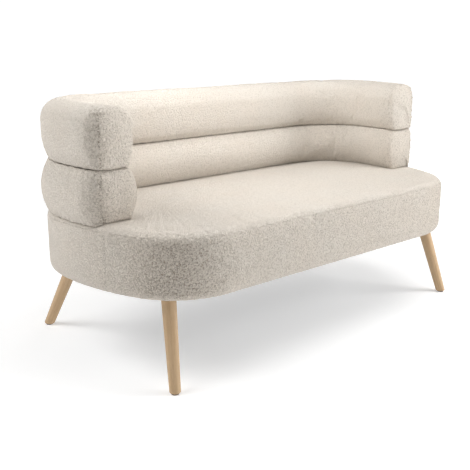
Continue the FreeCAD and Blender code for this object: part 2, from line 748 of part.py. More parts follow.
# ---- back and arm upholstery ----
core = wall_band(wall_t0 - 2 * soft_clearance - skin_gauge, wall_t1 + 2 * soft_clearance + skin_gauge,
                 seat_top - wrap_past, top_rail_top + soft_clearance, board_y - soft_clearance)
right_half = box(0, half_length + lower_bulge_out, front_y, back_y + lower_bulge_out, seat_underside, top_z)
for name, roll in (("upper_roll", upper_roll), ("lower_roll", lower_roll)):
    save(name + "_cover", roll(0).cut(roll(cover_gauge)).cut(core))
    save(name + "_wadding", roll(layer_1).cut(roll(layer_1 + wadding_gauge)).cut(core))
    foam = roll(layer_2).cut(core).common(right_half)
    save(name + "_foam_right", foam)
    save(name + "_foam_left", mirrored(foam))
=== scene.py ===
import math

import bpy
import numpy as np
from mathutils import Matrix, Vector
from mathutils.geometry import delaunay_2d_cdt


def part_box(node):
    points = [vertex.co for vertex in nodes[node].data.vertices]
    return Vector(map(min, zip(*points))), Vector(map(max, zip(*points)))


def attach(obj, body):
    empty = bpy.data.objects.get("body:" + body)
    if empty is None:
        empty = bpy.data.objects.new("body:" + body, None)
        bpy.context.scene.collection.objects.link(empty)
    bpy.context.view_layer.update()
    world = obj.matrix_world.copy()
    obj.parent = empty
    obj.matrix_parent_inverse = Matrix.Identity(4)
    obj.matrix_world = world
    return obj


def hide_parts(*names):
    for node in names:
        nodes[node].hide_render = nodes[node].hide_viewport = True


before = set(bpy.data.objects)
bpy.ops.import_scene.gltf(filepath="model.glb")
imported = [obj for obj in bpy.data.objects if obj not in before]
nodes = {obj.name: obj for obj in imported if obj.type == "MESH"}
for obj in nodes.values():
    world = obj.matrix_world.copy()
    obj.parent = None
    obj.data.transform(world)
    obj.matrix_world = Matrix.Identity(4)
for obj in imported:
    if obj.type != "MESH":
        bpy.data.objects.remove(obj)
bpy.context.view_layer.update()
print("frame loaded:", len(nodes), "nodes")


# ---------- the plan that every soft piece follows ----------

borderLow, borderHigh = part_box("seat_border_cover")
upperLow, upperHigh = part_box("upper_roll_cover")
quarter = math.pi / 2

plan = {
    "halfLength": borderHigh.x,
    "frontY": borderLow.y,
    "backY": borderHigh.y,
    "frontCornerRadius": 0.238,      # tight arc at the front corner
    "frontCornerTurn": 66.5,         # degrees turned on it
    "sideStraight": 0.0263,          # between the slack side arc and the back corner
    "backCornerRadius": 0.384,       # slack arc from the back into the corner
    "backSideRadius": 0.273,         # tight arc from the corner into the arm
    "backCornerTurn": 40.5,          # degrees turned on the slack one
}
levels = {
    "underside": borderLow.z,
    "seatTop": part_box("seat_top_cover")[1].z,
    "groove": upperLow.z,
    "top": upperHigh.z,
    "armEnd": upperLow.y,
}


def makeOutline(p):
    # right half of the seat's outline, from the middle of the back to the middle of the front:
    # run, arc, arc, run, arc, arc, run, each tangent to the next
    frontTurn = math.radians(p["frontCornerTurn"])
    backTurn = math.radians(p["backCornerTurn"])
    backStep = p["backCornerRadius"] - p["backSideRadius"]
    backY = p["backY"] - p["backCornerRadius"]
    cornerX = p["halfLength"] - p["backSideRadius"]
    cornerY = backY + backStep * math.cos(backTurn)
    backX = cornerX - backStep * math.sin(backTurn)
    frontY = p["frontY"] + p["frontCornerRadius"]
    sideY = cornerY - p["sideStraight"]
    frontStep = (sideY - frontY) / math.cos(frontTurn)
    sideRadius = p["frontCornerRadius"] + frontStep
    sideX = p["halfLength"] - sideRadius
    frontX = sideX + frontStep * math.sin(frontTurn)
    split = quarter - backTurn
    sideEnd = frontTurn - quarter
    # origin x, origin y, radius, start angle, end angle, run direction x, run direction y, length
    rows = [
        (0, p["backY"], 0, quarter, quarter, 1, 0, backX),
        (backX, backY, p["backCornerRadius"], quarter, split, 0, 0, p["backCornerRadius"] * backTurn),
        (cornerX, cornerY, p["backSideRadius"], split, 0, 0, 0, p["backSideRadius"] * split),
        (p["halfLength"], cornerY, 0, 0, 0, 0, -1, p["sideStraight"]),
        (sideX, sideY, sideRadius, 0, sideEnd, 0, 0, -sideRadius * sideEnd),
        (frontX, frontY, p["frontCornerRadius"], sideEnd, -quarter, 0, 0,
         p["frontCornerRadius"] * frontTurn),
        (frontX, p["frontY"], 0, -quarter, -quarter, -1, 0, frontX),
    ]
    table = np.array(rows, float)
    starts = np.concatenate(([0], np.cumsum(table[:, 7])))
    return {"table": table, "starts": starts, "sideX": sideX, "sideY": sideY, "sideRadius": sideRadius}


outline = makeOutline(plan)
halfLoop = outline["starts"][-1]
sideStart = outline["starts"][4]


def outlineAt(station):
    # point and outward direction at a signed distance along the outline from the middle of the back:
    # origin + radius * (cos a, sin a) + run * distance, with the angle a going evenly along each arc
    run = np.clip(np.abs(station), 0, halfLoop)
    part = np.searchsorted(outline["starts"], run, side="right") - 1
    part = np.clip(part, 0, len(outline["table"]) - 1)
    row = outline["table"][part]
    along = run - outline["starts"][part]
    angle = row[..., 3] + (row[..., 4] - row[..., 3]) * along / np.maximum(row[..., 7], 1e-9)
    x = row[..., 0] + row[..., 2] * np.cos(angle) + row[..., 5] * along
    y = row[..., 1] + row[..., 2] * np.sin(angle) + row[..., 6] * along
    side = np.where(station < 0, -1.0, 1.0)
    return x * side, y, np.cos(angle) * side, np.sin(angle)


def insetPoint(station, inset, z):
    # outline point moved in along its own normal, at height z
    x, y, nx, ny = outlineAt(station)
    return np.stack([x - nx * inset, y - ny * inset, z + 0 * x], axis=-1)


def armPoint(side, inset, y, z):
    # point of the arm at a given y: on the side arc, moved in by inset
    radius = outline["sideRadius"] - inset
    x = outline["sideX"] + np.sqrt(radius ** 2 - (y - outline["sideY"]) ** 2)
    return np.stack([side * x, y + 0 * x, z + 0 * x], axis=-1)


# ---------- small tools ----------

def smoothStep(a, b, value):
    k = np.clip((value - a) / (b - a), 0, 1)
    return k * k * (3 - 2 * k)


def ripple(along, waves, seed):
    # sum of sines with seeded phases, each bent by a slower one, about -1 to 1; wave lengths in metres
    random = np.random.default_rng(seed)
    total = 0 * along
    for wave in waves:
        bend = 0.35 * np.sin(2 * np.pi * along / (wave * 3.7) + random.uniform(0, 6.28))
        total = total + np.sin(2 * np.pi * along / wave + 3 * bend + random.uniform(0, 6.28))
    return total / len(waves) ** 0.5


def lumpNoise(points, size, seed):
    # value noise: random values on a lattice of that size, blended smoothly between its corners
    table = np.random.default_rng(seed).uniform(-1, 1, 4096)
    primes = np.array([73, 1931, 26417])
    grid = points / size + 100
    cell = np.floor(grid).astype(np.int64)
    f = grid - cell
    f = f * f * (3 - 2 * f)
    total = np.zeros(len(points))
    for corner in range(8):
        step = np.array([corner & 1, corner >> 1 & 1, corner >> 2 & 1])
        place = (cell + step) @ primes % len(table)
        total += np.prod(np.where(step, f, 1 - f), axis=1) * table[place]
    return total


def readVectors(piece, source, name):
    flat = np.empty(len(piece.data.vertices) * 3)
    source.foreach_get(name, flat)
    return flat.reshape(-1, 3)


def getPoints(piece):
    return readVectors(piece, piece.data.vertices, "co")


def getNormals(piece):
    return readVectors(piece, piece.data.vertices, "normal")


def setPoints(piece, points):
    piece.data.vertices.foreach_set("co", points.ravel())
    piece.data.update()


def addMesh(name, points, faces, station=None):
    mesh = bpy.data.meshes.new(name)
    mesh.from_pydata(points.tolist(), [], faces)
    mesh.validate()
    mesh.polygons.foreach_set("use_smooth", np.ones(len(mesh.polygons), bool))
    piece = bpy.data.objects.new(name, mesh)
    bpy.context.scene.collection.objects.link(piece)
    if station is not None:
        turn = np.pi * station / halfLoop
        place = np.stack([np.cos(turn), np.sin(turn), 0 * turn], axis=-1)
        mesh.attributes.new("along", "FLOAT_VECTOR", "POINT").data.foreach_set("vector", place.ravel())
    return piece


def getStation(piece):
    # distance along the outline, which each point kept through the subdivision as a turn of the loop
    place = readVectors(piece, piece.data.attributes["along"].data, "vector")
    piece.data.attributes.remove(piece.data.attributes["along"])
    return halfLoop * np.arctan2(place[:, 1], place[:, 0]) / np.pi


def keepShare(piece, name, share):
    # a number from 0 to 1 at each point, read by the fabric: one is painted shade in the folds of seams
    # and grooves, the other painted shade where the loops are drawn further apart, on faces turned to
    # the front
    piece.data.attributes.new(name, "FLOAT", "POINT").data.foreach_set("value", np.clip(share, 0, 1))


def gridFaces(rows, columns, closeRows=False, closeColumns=False):
    # four-sided faces of a grid whose points are numbered row by row
    i = np.arange(rows if closeRows else rows - 1)[:, None]
    j = np.arange(columns if closeColumns else columns - 1)[None, :]
    a = i * columns + j
    b = i * columns + (j + 1) % columns
    c = (i + 1) % rows * columns + (j + 1) % columns
    d = (i + 1) % rows * columns + j
    return np.stack([a, b, c, d], axis=-1).reshape(-1, 4).tolist()


def fanFaces(ring, centre, flip):
    faces = [[ring[k], ring[(k + 1) % len(ring)], centre] for k in range(len(ring))]
    return [face[::-1] for face in faces] if flip else faces


def faceOutwards(piece):
    # signed volume of a closed mesh: the sum of p0 . (p1 x p2) / 6 over its triangles
    mesh = piece.data
    mesh.calc_loop_triangles()
    corner = np.empty(len(mesh.loop_triangles) * 3, np.int32)
    mesh.loop_triangles.foreach_get("vertices", corner)
    p = getPoints(piece)[corner.reshape(-1, 3)]
    if np.einsum("ij,ij->i", p[:, 0], np.cross(p[:, 1], p[:, 2])).sum() < 0:
        mesh.flip_normals()


def freezeModifiers(piece):
    # the mesh as its modifiers leave it, with none left on the piece
    graph = bpy.context.evaluated_depsgraph_get()
    fresh = bpy.data.meshes.new_from_object(piece.evaluated_get(graph))
    old = piece.data
    piece.modifiers.clear()
    piece.data = fresh
    fresh.name = piece.name
    bpy.data.meshes.remove(old)


def smoothOnce(piece):
    divide = piece.modifiers.new("divide", "SUBSURF")
    divide.levels = 1
    divide.render_levels = 1
    freezeModifiers(piece)


stuffing = {
    "pressure": 4.0,
    "tension": 14.0,
    "bending": 0.5,
    "frames": 20,
    "give": 0.0006,                  # furthest that a point may sink into the padding
}


def inflate(piece, held, cap):
    # cloth blown out against the points in held; no point ends further than cap from where it began
    before = getPoints(piece)
    normals = getNormals(piece)
    group = piece.vertex_groups.new(name="seams")
    group.add(np.nonzero(held)[0].tolist(), 1.0, "REPLACE")
    cloth = piece.modifiers.new("stuffing", "CLOTH")
    cloth.settings.vertex_group_mass = "seams"
    cloth.settings.use_pressure = True
    cloth.settings.uniform_pressure_force = stuffing["pressure"]
    cloth.settings.tension_stiffness = stuffing["tension"]
    cloth.settings.compression_stiffness = stuffing["tension"]
    cloth.settings.bending_stiffness = stuffing["bending"]
    cloth.settings.effector_weights.gravity = 0
    cloth.point_cache.frame_start = 1
    cloth.point_cache.frame_end = stuffing["frames"]
    scene = bpy.context.scene
    for number in range(1, stuffing["frames"] + 1):
        scene.frame_set(number)
    freezeModifiers(piece)
    scene.frame_set(1)
    piece.vertex_groups.clear()
    moved = getPoints(piece) - before
    reach = np.linalg.norm(moved, axis=1)
    moved *= np.minimum(1, cap / np.maximum(reach, 1e-9))[:, None]
    sunk = np.minimum(0, (moved * normals).sum(axis=1) + stuffing["give"])
    setPoints(piece, before + moved - normals * sunk[:, None])
    print("stuffed", piece.name, "by", np.round(reach.mean() * 1000, 1), "mm,",
          np.round(reach.max() * 1000, 1), "mm at most")


# ---------- looped fabric ----------

def newMaterial(name, roughness=0.5, specular=0.5):
    material = bpy.data.materials.new(name)
    material.use_nodes = True
    tree = material.node_tree
    shader = tree.nodes["Principled BSDF"]
    shader.inputs["Roughness"].default_value = roughness
    shader.inputs["Specular IOR Level"].default_value = specular
    return material, tree, shader


def addNode(tree, kind, values=None, **settings):
    node = tree.nodes.new(kind)
    for key, value in settings.items():
        setattr(node, key, value)
    for key, value in (values or {}).items():
        node.inputs[key].default_value = value
    return node


def feed(tree, socket, value):
    # a number, a colour or another node's output
    if isinstance(value, (int, float)):
        socket.default_value = value
    elif isinstance(value, tuple):
        socket.default_value = (*value, 1)
    elif value is not None:
        tree.links.new(value, socket)


def mathNode(tree, operation, a, b=None, c=None, clamp=False):
    node = addNode(tree, "ShaderNodeMath", operation=operation, use_clamp=clamp)
    for socket, value in zip(node.inputs, (a, b, c)):
        feed(tree, socket, value)
    return node.outputs[0]


def scaled(tree, value, factor, offset, clamp=False):
    return mathNode(tree, "MULTIPLY_ADD", value, factor, offset, clamp)


def mixColour(tree, factor, a, b):
    node = addNode(tree, "ShaderNodeMix", data_type="RGBA")
    for number, value in ((0, factor), (6, a), (7, b)):
        feed(tree, node.inputs[number], value)
    return node.outputs[2]


def objectCoords(tree, turn=(0, 0, 0), stretch=(1, 1, 1)):
    # the piece's own coordinates seen along turned axes, with the pattern drawn out by stretch on each
    coords = addNode(tree, "ShaderNodeTexCoord")
    mapping = addNode(tree, "ShaderNodeMapping", {"Rotation": turn, "Scale": stretch},
                      vector_type="TEXTURE")
    tree.links.new(coords.outputs["Object"], mapping.inputs["Vector"])
    return mapping.outputs["Vector"]


def noise(tree, coords, scale, detail=2.0, distortion=0.0, output="Fac"):
    values = {"Scale": scale, "Detail": detail, "Distortion": distortion}
    node = addNode(tree, "ShaderNodeTexNoise", values)
    tree.links.new(coords, node.inputs["Vector"])
    return node.outputs[output]


def axisPart(tree, coords, axis):
    part = addNode(tree, "ShaderNodeSeparateXYZ")
    tree.links.new(coords, part.inputs[0])
    return part.outputs[axis]


def sineBands(tree, coords, axis, scale):
    return mathNode(tree, "SINE", mathNode(tree, "MULTIPLY", axisPart(tree, coords, axis), scale))


def readShare(tree, name):
    return addNode(tree, "ShaderNodeAttribute", attribute_name=name).outputs["Fac"]


def setSurface(tree, shader, colour, height, depth, strength=1.0):
    # a colour, and a relief of that depth
    tree.links.new(colour, shader.inputs["Base Color"])
    bump = addNode(tree, "ShaderNodeBump", {"Distance": depth, "Strength": strength})
    tree.links.new(height, bump.inputs["Height"])
    tree.links.new(bump.outputs["Normal"], shader.inputs["Normal"])


loopedFabric = {
    "loop": (0.77, 0.715, 0.64),     # top of a yarn loop
    "warm": (0.78, 0.70, 0.61),      # yarn that has taken a warmer tone
    "warmScale": 7.0,                # patches of it to the metre
    "warmContrast": 1.6,
    "warmLevel": -0.4,
    "gap": (0.65, 0.59, 0.515),      # down between the loops, darkened as painted shade
    "shadedOpenGap": (0.33, 0.28, 0.225),  # the same where the loops stand well apart, darker still as painted shade
    "opening": -0.18,                # how much narrower the loops look there, which darkens it further
    "openShade": 0.16,               # and how much darker their tops are drawn there: painted shade
    "shade": (0.20, 0.16, 0.12),     # painted shade deep in the fold of a seam or groove
    "creaseShadeLevel": 1.25,               # strength of that painted shade between the loops; on their tops it is 1 less
    "largeLoops": 180.0,             # loops to the metre
    "smallLoops": 280.0,
    "smallShare": 0.85,              # height of the small ones, as a share of the large
    "scatter": 0.9,                  # how far the loops stand out of rank
    "radius": 0.34,                  # of a loop, in cells
    "fall": 3.4,                     # how steeply it falls away beside its crest
    "blend": 0.2,                    # how softly the two sizes go over into each other
    "contrast": 1.5,                 # of the loops' tops with the down
    "level": -0.1,
    "warpScale": 150.0,
    "warp": 0.007,                   # how far the loops are bent out of round
    "fibreScale": 1300.0,
    "fibreShare": 0.14,
    "depth": 0.0022,
    "roughness": 0.95,
    "specular": 0.15,
    "sheen": 0.12,
    "sheenRoughness": 0.6,
}


def loopRings(tree, coords, f, scale, offset):
    # a ring round each cell's middle: 1 - fall * |distance - radius|, so 1 on the yarn's crest; offset
    # moves the pattern, so that two sizes don't share their middles
    moved = addNode(tree, "ShaderNodeVectorMath", operation="ADD")
    moved.inputs[1].default_value = (offset, 2.3 * offset, 3.1 * offset)
    tree.links.new(coords, moved.inputs[0])
    cells = addNode(tree, "ShaderNodeTexVoronoi", {"Scale": scale, "Randomness": f["scatter"]})
    tree.links.new(moved.outputs[0], cells.inputs["Vector"])
    away = mathNode(tree, "SUBTRACT", cells.outputs["Distance"], f["radius"])
    away = mathNode(tree, "MULTIPLY", mathNode(tree, "ABSOLUTE", away), f["fall"])
    return mathNode(tree, "SUBTRACT", 1.0, away, clamp=True)


def makeLoopedFabric(f):
    # two sizes of yarn loops lying over each other, bent by a warp, with fine fibres on them
    material, tree, shader = newMaterial("looped_fabric_cream", f["roughness"], f["specular"])
    coords = objectCoords(tree)
    shift = addNode(tree, "ShaderNodeVectorMath", operation="MULTIPLY_ADD")
    shift.inputs[1].default_value = (f["warp"],) * 3
    tree.links.new(noise(tree, coords, f["warpScale"], 1.0, output="Color"), shift.inputs[0])
    tree.links.new(coords, shift.inputs[2])
    large = loopRings(tree, shift.outputs[0], f, f["largeLoops"], 0.31)
    small = loopRings(tree, shift.outputs[0], f, f["smallLoops"], 0.83)
    small = mathNode(tree, "MULTIPLY", small, f["smallShare"])
    rings = mathNode(tree, "SMOOTH_MAX", large, small, f["blend"])
    fibres = noise(tree, coords, f["fibreScale"])
    height = scaled(tree, fibres, f["fibreShare"], rings)
    patches = noise(tree, coords, f["warmScale"], 3.0)
    patches = scaled(tree, patches, f["warmContrast"], f["warmLevel"], clamp=True)
    # painted shade where the pieces mark it: the loops are drawn narrower, the gaps and the loops' tops
    # darker
    apartAndShade = readShare(tree, "apartAndShade")
    level = scaled(tree, apartAndShade, f["opening"], f["level"])
    crest = scaled(tree, height, f["contrast"], level, clamp=True)
    gap = mixColour(tree, apartAndShade, f["gap"], f["shadedOpenGap"])
    top = mixColour(tree, patches, f["loop"], f["warm"])
    top = mixColour(tree, mathNode(tree, "MULTIPLY", apartAndShade, f["openShade"]), top, f["shadedOpenGap"])
    # the loops' tops over the darker gaps: painted shade between the loops
    colour = mixColour(tree, crest, gap, top)
    # painted shade in the folds of seams and grooves, darkest down between the loops
    between = mathNode(tree, "SUBTRACT", f["creaseShadeLevel"], crest)
    dark = mathNode(tree, "MULTIPLY", readShare(tree, "creaseShade"), between, clamp=True)
    colour = mixColour(tree, dark, colour, f["shade"])
    shader.inputs["Sheen Weight"].default_value = f["sheen"]
    shader.inputs["Sheen Roughness"].default_value = f["sheenRoughness"]
    setSurface(tree, shader, colour, height, f["depth"])
    return material


looped = makeLoopedFabric(loopedFabric)


# ---------- the two rolls of the back and arms ----------

roll = {
    "grooveInset": 0.016,            # seat outline in to the outer groove
    "wall": 0.102,                   # outer groove to inner groove
    "upperBulge": 0.019,
    "upperBelly": 0.075,             # groove up to the widest point
    "topRound": 0.054,
    "taper": 0.4,                    # how much tighter that rounding is where the end turns in
    "lowerBulgeOut": 0.028,
    "lowerBellyOut": 0.085,
    "lowerBulgeIn": 0.026,
    "lowerBellyIn": 0.074,
    "seamRound": 0.011,              # fabric turning into a groove
    "footRound": 0.005,              # fabric turning in over the seat
    "endOuter": 0.004,               # rounding of the arm end: at the outer corner seam,
    "endInner": 0.020,               # at the soft inner corner,
    "endTop": 0.018,                 # along the top,
    "endBottom": 0.009,              # and along the bottom
    "seamInset": 0.024,              # seat outline in to the corner seam
    "sweepRadius": 0.085,            # curve from the swelling side to that seam, seen from above
    "sweepTop": 0.049,               # rounding of the top at the seam
    "blend": 0.0015,                 # how softly the side goes over into that curve
    "flare": 0.35,                   # how fast the curve leaves the side behind its start
    "endCrown": 0.005,
    "gap": 0.0003,                   # between the two rolls
    "cap": 0.006,                    # furthest that the stuffing may push the fabric
    "rings": 258,
    "crowding": 1.3,                 # power by which they lie closer together towards the ends
    "endTurns": (18, 36, 54, 72, 90),    # degrees of the rings that turn in to the end
    "endRows": 9,
}
seat = {
    "topRound": 0.031,
    "bottomRound": 0.030,
    "seamDrop": 0.016,               # top of the seat down to the boxing seam
    "tuck": 0.014,
    "tuckHem": 0.006,
    "gauge": 0.003,
    "crown": 0.006,
    "crownEnds": (0.15, 0.30),       # width without it by each end, and width that it takes to rise,
    "crownBack": (0.14, 0.20),       # by the back
    "crownFront": (0.02, 0.22),      # and by the front
    "gap": 0.0004,                   # between the seat and the roll that lies on it
    "around": 440,
    "spine": 0.43,                   # half length of the line that the top's rows close on
    "spineShare": 0.8,
    "topRows": (8, 26),              # rows over the rounded edge and across the top,
    "innerRows": (5, 6),             # and of the same on the inside
    "underRoll": 0.15,               # width of the strip by the edge that the rolls lie on
    "underFront": 0.01,              # how far it runs on in front of the arm ends
    "underDrop": 0.004,              # and down the rounded edge
    "seamLip": 0.0018,               # fabric turning in at the boxing seam
    "seamOpen": 0.02,                # half of the seam's opening, as an angle on the rounded edge
    "seamWidth": 0.003,
    "seamShade": 0.14,
    "pucker": 0.0012,                # height of the puckers beside it
    "puckerReach": 0.018,
    "puckerWaves": (0.024, 0.037, 0.061),
    "slowWaves": (0.15, 0.23),
    "slowShare": 0.5,
    "besideRoll": (-0.03, 0.03),     # from before the arm ends to behind them, where puckers fade,
    "hiddenShare": 0.3,              # and what is left of them under the rolls
    "unevenSize": 0.13,
    "evenFoot": (0.02, 0.10),        # from the underside up, where the unevenness sets in
    "tightTop": (0.90, 0.99),        # upward part of the normal where the top is pulled tight,
    "tightShare": 0.9,               # and how much flatter the clumps of loops lie there
    "uprightSeam": sideStart + 0.175,    # along the outline to the upright seam of the border
    "uprightDepth": 0.0016,
    "uprightWidth": 0.004,
    "uprightRise": 0.004,            # from the boxing seam down to its full depth
    "uprightShade": 0.35,
    "cornerApartShade": 1.35,            # how far the loops stand apart, with painted shade, round the front corners,
    "frontApartShade": 0.48,             # and on the straight of the front
    "apartAndShadeFade": 0.02,              # how far above and below the boxing seam that fades
    "cap": 0.005,
}


def arcRun(centre, radius, start, end, count):
    # count points on a circle, from one angle up to but not at another
    angle = start + (end - start) * np.arange(count) / count
    return np.stack([centre[0] + radius * np.cos(angle), centre[1] + radius * np.sin(angle)], axis=-1)


def straightRun(a, b, count):
    k = (np.arange(count) / count)[:, None]
    return np.array(a) * (1 - k) + np.array(b) * k


def bulgeCircle(groove, side, bulge, belly, bellyZ):
    # circle through the groove whose widest point stands bulge past it, at height bellyZ
    radius = (bulge ** 2 + belly ** 2) / (2 * bulge)
    return (groove + side * (bulge - radius), bellyZ), radius


def cornerOnLevel(circle, radius, side, level, rise, small):
    # small circle inside a bulge circle and touching a level line; rise is +1 if the roll is above it
    z = level + rise * small
    t = circle[0] + side * math.sqrt((radius - small) ** 2 - (z - circle[1]) ** 2)
    return (t, z), math.atan2(z - circle[1], t - circle[0])


def cornerOnEdge(circle, radius, edge, edgeRadius, small):
    # small circle inside a bulge circle and resting on the seat's rounded edge, on its outer side
    a = radius - small
    b = edgeRadius + small
    dx = edge[0] - circle[0]
    dz = edge[1] - circle[1]
    d = math.hypot(dx, dz)
    along = (a * a - b * b + d * d) / (2 * d)
    off = math.sqrt(a * a - along * along)
    crossings = []
    for away in (off, -off):
        t = circle[0] + (dx * along + dz * away) / d
        crossings.append((t, circle[1] + (dz * along - dx * away) / d))
    t, z = min(crossings)
    return (t, z), math.atan2(z - circle[1], t - circle[0]), math.atan2(z - edge[1], t - edge[0])


def upperLoop(outer=0.0, inner=0.0, top=0.0, bottom=0.0):
    # closed section of the upper roll, clockwise from its outer bottom corner, as (inset, height);
    # with it, which of its points lie hidden in the groove, and its top level. The number at the end
    # of each run is how many points it has.
    left = roll["grooveInset"] + outer
    right = roll["grooveInset"] + roll["wall"] - inner
    floor = levels["groove"] + bottom
    ceiling = levels["top"] - top
    bellyZ = levels["groove"] + roll["upperBelly"]
    small = roll["seamRound"]
    bulge = roll["upperBulge"]
    outCircle, radius = bulgeCircle(left, -1, bulge, roll["upperBelly"], bellyZ)
    inCircle, radius = bulgeCircle(right, 1, bulge, roll["upperBelly"], bellyZ)
    outCorner, outAngle = cornerOnLevel(outCircle, radius, -1, floor, 1, small)
    inCorner, inAngle = cornerOnLevel(inCircle, radius, 1, floor, 1, small)
    outAngle -= 2 * math.pi if outAngle > 0 else 0
    crown = roll["topRound"] - roll["taper"] * (outer + inner)
    shoulder = ceiling - crown
    farLeft = left - bulge
    farRight = right + bulge
    runs = [
        arcRun(outCorner, small, -quarter, outAngle, 3),
        arcRun(outCircle, radius, outAngle, -math.pi, 11),
        straightRun((farLeft, bellyZ), (farLeft, shoulder), 5),
        arcRun((farLeft + crown, shoulder), crown, math.pi, quarter, 12),
        straightRun((farLeft + crown, ceiling), (farRight - crown, ceiling), 4),
        arcRun((farRight - crown, shoulder), crown, quarter, 0, 12),
        straightRun((farRight, shoulder), (farRight, bellyZ), 5),
        arcRun(inCircle, radius, 0, inAngle, 11),
        arcRun(inCorner, small, inAngle, -quarter, 3),
        straightRun((inCorner[0], floor), (outCorner[0], floor), 8),
    ]
    hidden = np.concatenate([np.full(len(run), k == len(runs) - 1) for k, run in enumerate(runs)])
    return np.concatenate(runs), hidden, ceiling


def lowerLoop(outer=0.0, inner=0.0, top=0.0, bottom=0.0):
    # closed section of the lower roll: two bulging sides under a flat top, with the bottom laid on
    # the seat and its rounded edge; it has no rounded top of its own
    left = roll["grooveInset"] + outer
    right = roll["grooveInset"] + roll["wall"] - inner
    ceiling = levels["groove"] - roll["gap"] - top
    floor = levels["seatTop"] + seat["gap"]
    small = roll["seamRound"]
    foot = roll["footRound"]
    outZ = levels["groove"] - roll["lowerBellyOut"]
    inZ = levels["groove"] - roll["lowerBellyIn"]
    outCircle, outRadius = bulgeCircle(left, -1, roll["lowerBulgeOut"], roll["lowerBellyOut"], outZ)
    inCircle, inRadius = bulgeCircle(right, 1, roll["lowerBulgeIn"], roll["lowerBellyIn"], inZ)
    edge = (seat["topRound"], levels["seatTop"] - seat["topRound"])
    edgeRadius = seat["topRound"] + seat["gap"] + bottom
    footCorner, footAngle, edgeAngle = cornerOnEdge(outCircle, outRadius, edge, edgeRadius, foot)
    footAngle -= 2 * math.pi if footAngle > 0 else 0
    outTop, outTopAngle = cornerOnLevel(outCircle, outRadius, -1, ceiling, -1, small)
    inTop, inTopAngle = cornerOnLevel(inCircle, inRadius, 1, ceiling, -1, small)
    inFoot, inFootAngle = cornerOnLevel(inCircle, inRadius, 1, floor + bottom, 1, foot)
    runs = [
        arcRun(footCorner, foot, edgeAngle - math.pi, footAngle, 3),
        arcRun(outCircle, outRadius, footAngle, outTopAngle - 2 * math.pi, 20),
        arcRun(outTop, small, outTopAngle - 2 * math.pi, quarter - 2 * math.pi, 3),
        straightRun((outTop[0], ceiling), (inTop[0], ceiling), 8),
        arcRun(inTop, small, quarter, inTopAngle, 3),
        arcRun(inCircle, inRadius, inTopAngle, inFootAngle, 20),
        arcRun(inFoot, foot, inFootAngle, -quarter, 3),
        straightRun((inFoot[0], floor + bottom), (edge[0], floor + bottom), 8),
        arcRun(edge, edgeRadius, quarter, edgeAngle, 4),
    ]
    # hidden are the top, the bottom and the run over the edge
    hidden = np.concatenate([np.full(len(run), k in (3, 7, 8)) for k, run in enumerate(runs)])
    return np.concatenate(runs), hidden, None


def makeSweep():
    # circle that touches the widest side of the arm from within and runs through the corner seam
    widest = outline["sideRadius"] + roll["lowerBulgeOut"] - roll["grooveInset"]
    toCentre = widest - roll["sweepRadius"]
    toSeam = outline["sideRadius"] - roll["seamInset"]
    turn = math.acos((toCentre ** 2 + toSeam ** 2 - roll["sweepRadius"] ** 2) / (2 * toCentre * toSeam))
    angle = math.asin((levels["armEnd"] - outline["sideY"]) / toSeam) + turn
    return {"x": outline["sideX"] + toCentre * math.cos(angle),
            "y": outline["sideY"] + toCentre * math.sin(angle),
            "start": outline["sideY"] + widest * math.sin(angle)}


sweep = makeSweep()


def sweepInset(y):
    # how far in from the outline the sweep lies at y, running on outwards behind its start
    ahead = np.minimum(y, sweep["start"])
    x = sweep["x"] + np.sqrt(np.maximum(roll["sweepRadius"] ** 2 - (ahead - sweep["y"]) ** 2, 0))
    inset = outline["sideRadius"] - np.hypot(x - outline["sideX"], ahead - outline["sideY"])
    return inset - roll["flare"] * (y - ahead)


def takeIn(t, z, y, top, shift=0.0):
    # inset of an arm's section points inside the sweep: the soft maximum of t and the sweep's inset,
    # which leans in over a rounding below the top, limit = sweep + e - sqrt(e^2 - (z - top + e)^2)
    limit = sweepInset(y) + shift
    if top is not None:
        e = roll["sweepTop"]
        limit = limit + e - np.sqrt(e ** 2 - np.clip(z - top + e, 0, e) ** 2)
    over = t - limit
    return limit + 0.5 * (over + np.sqrt(over ** 2 + roll["blend"] ** 2))


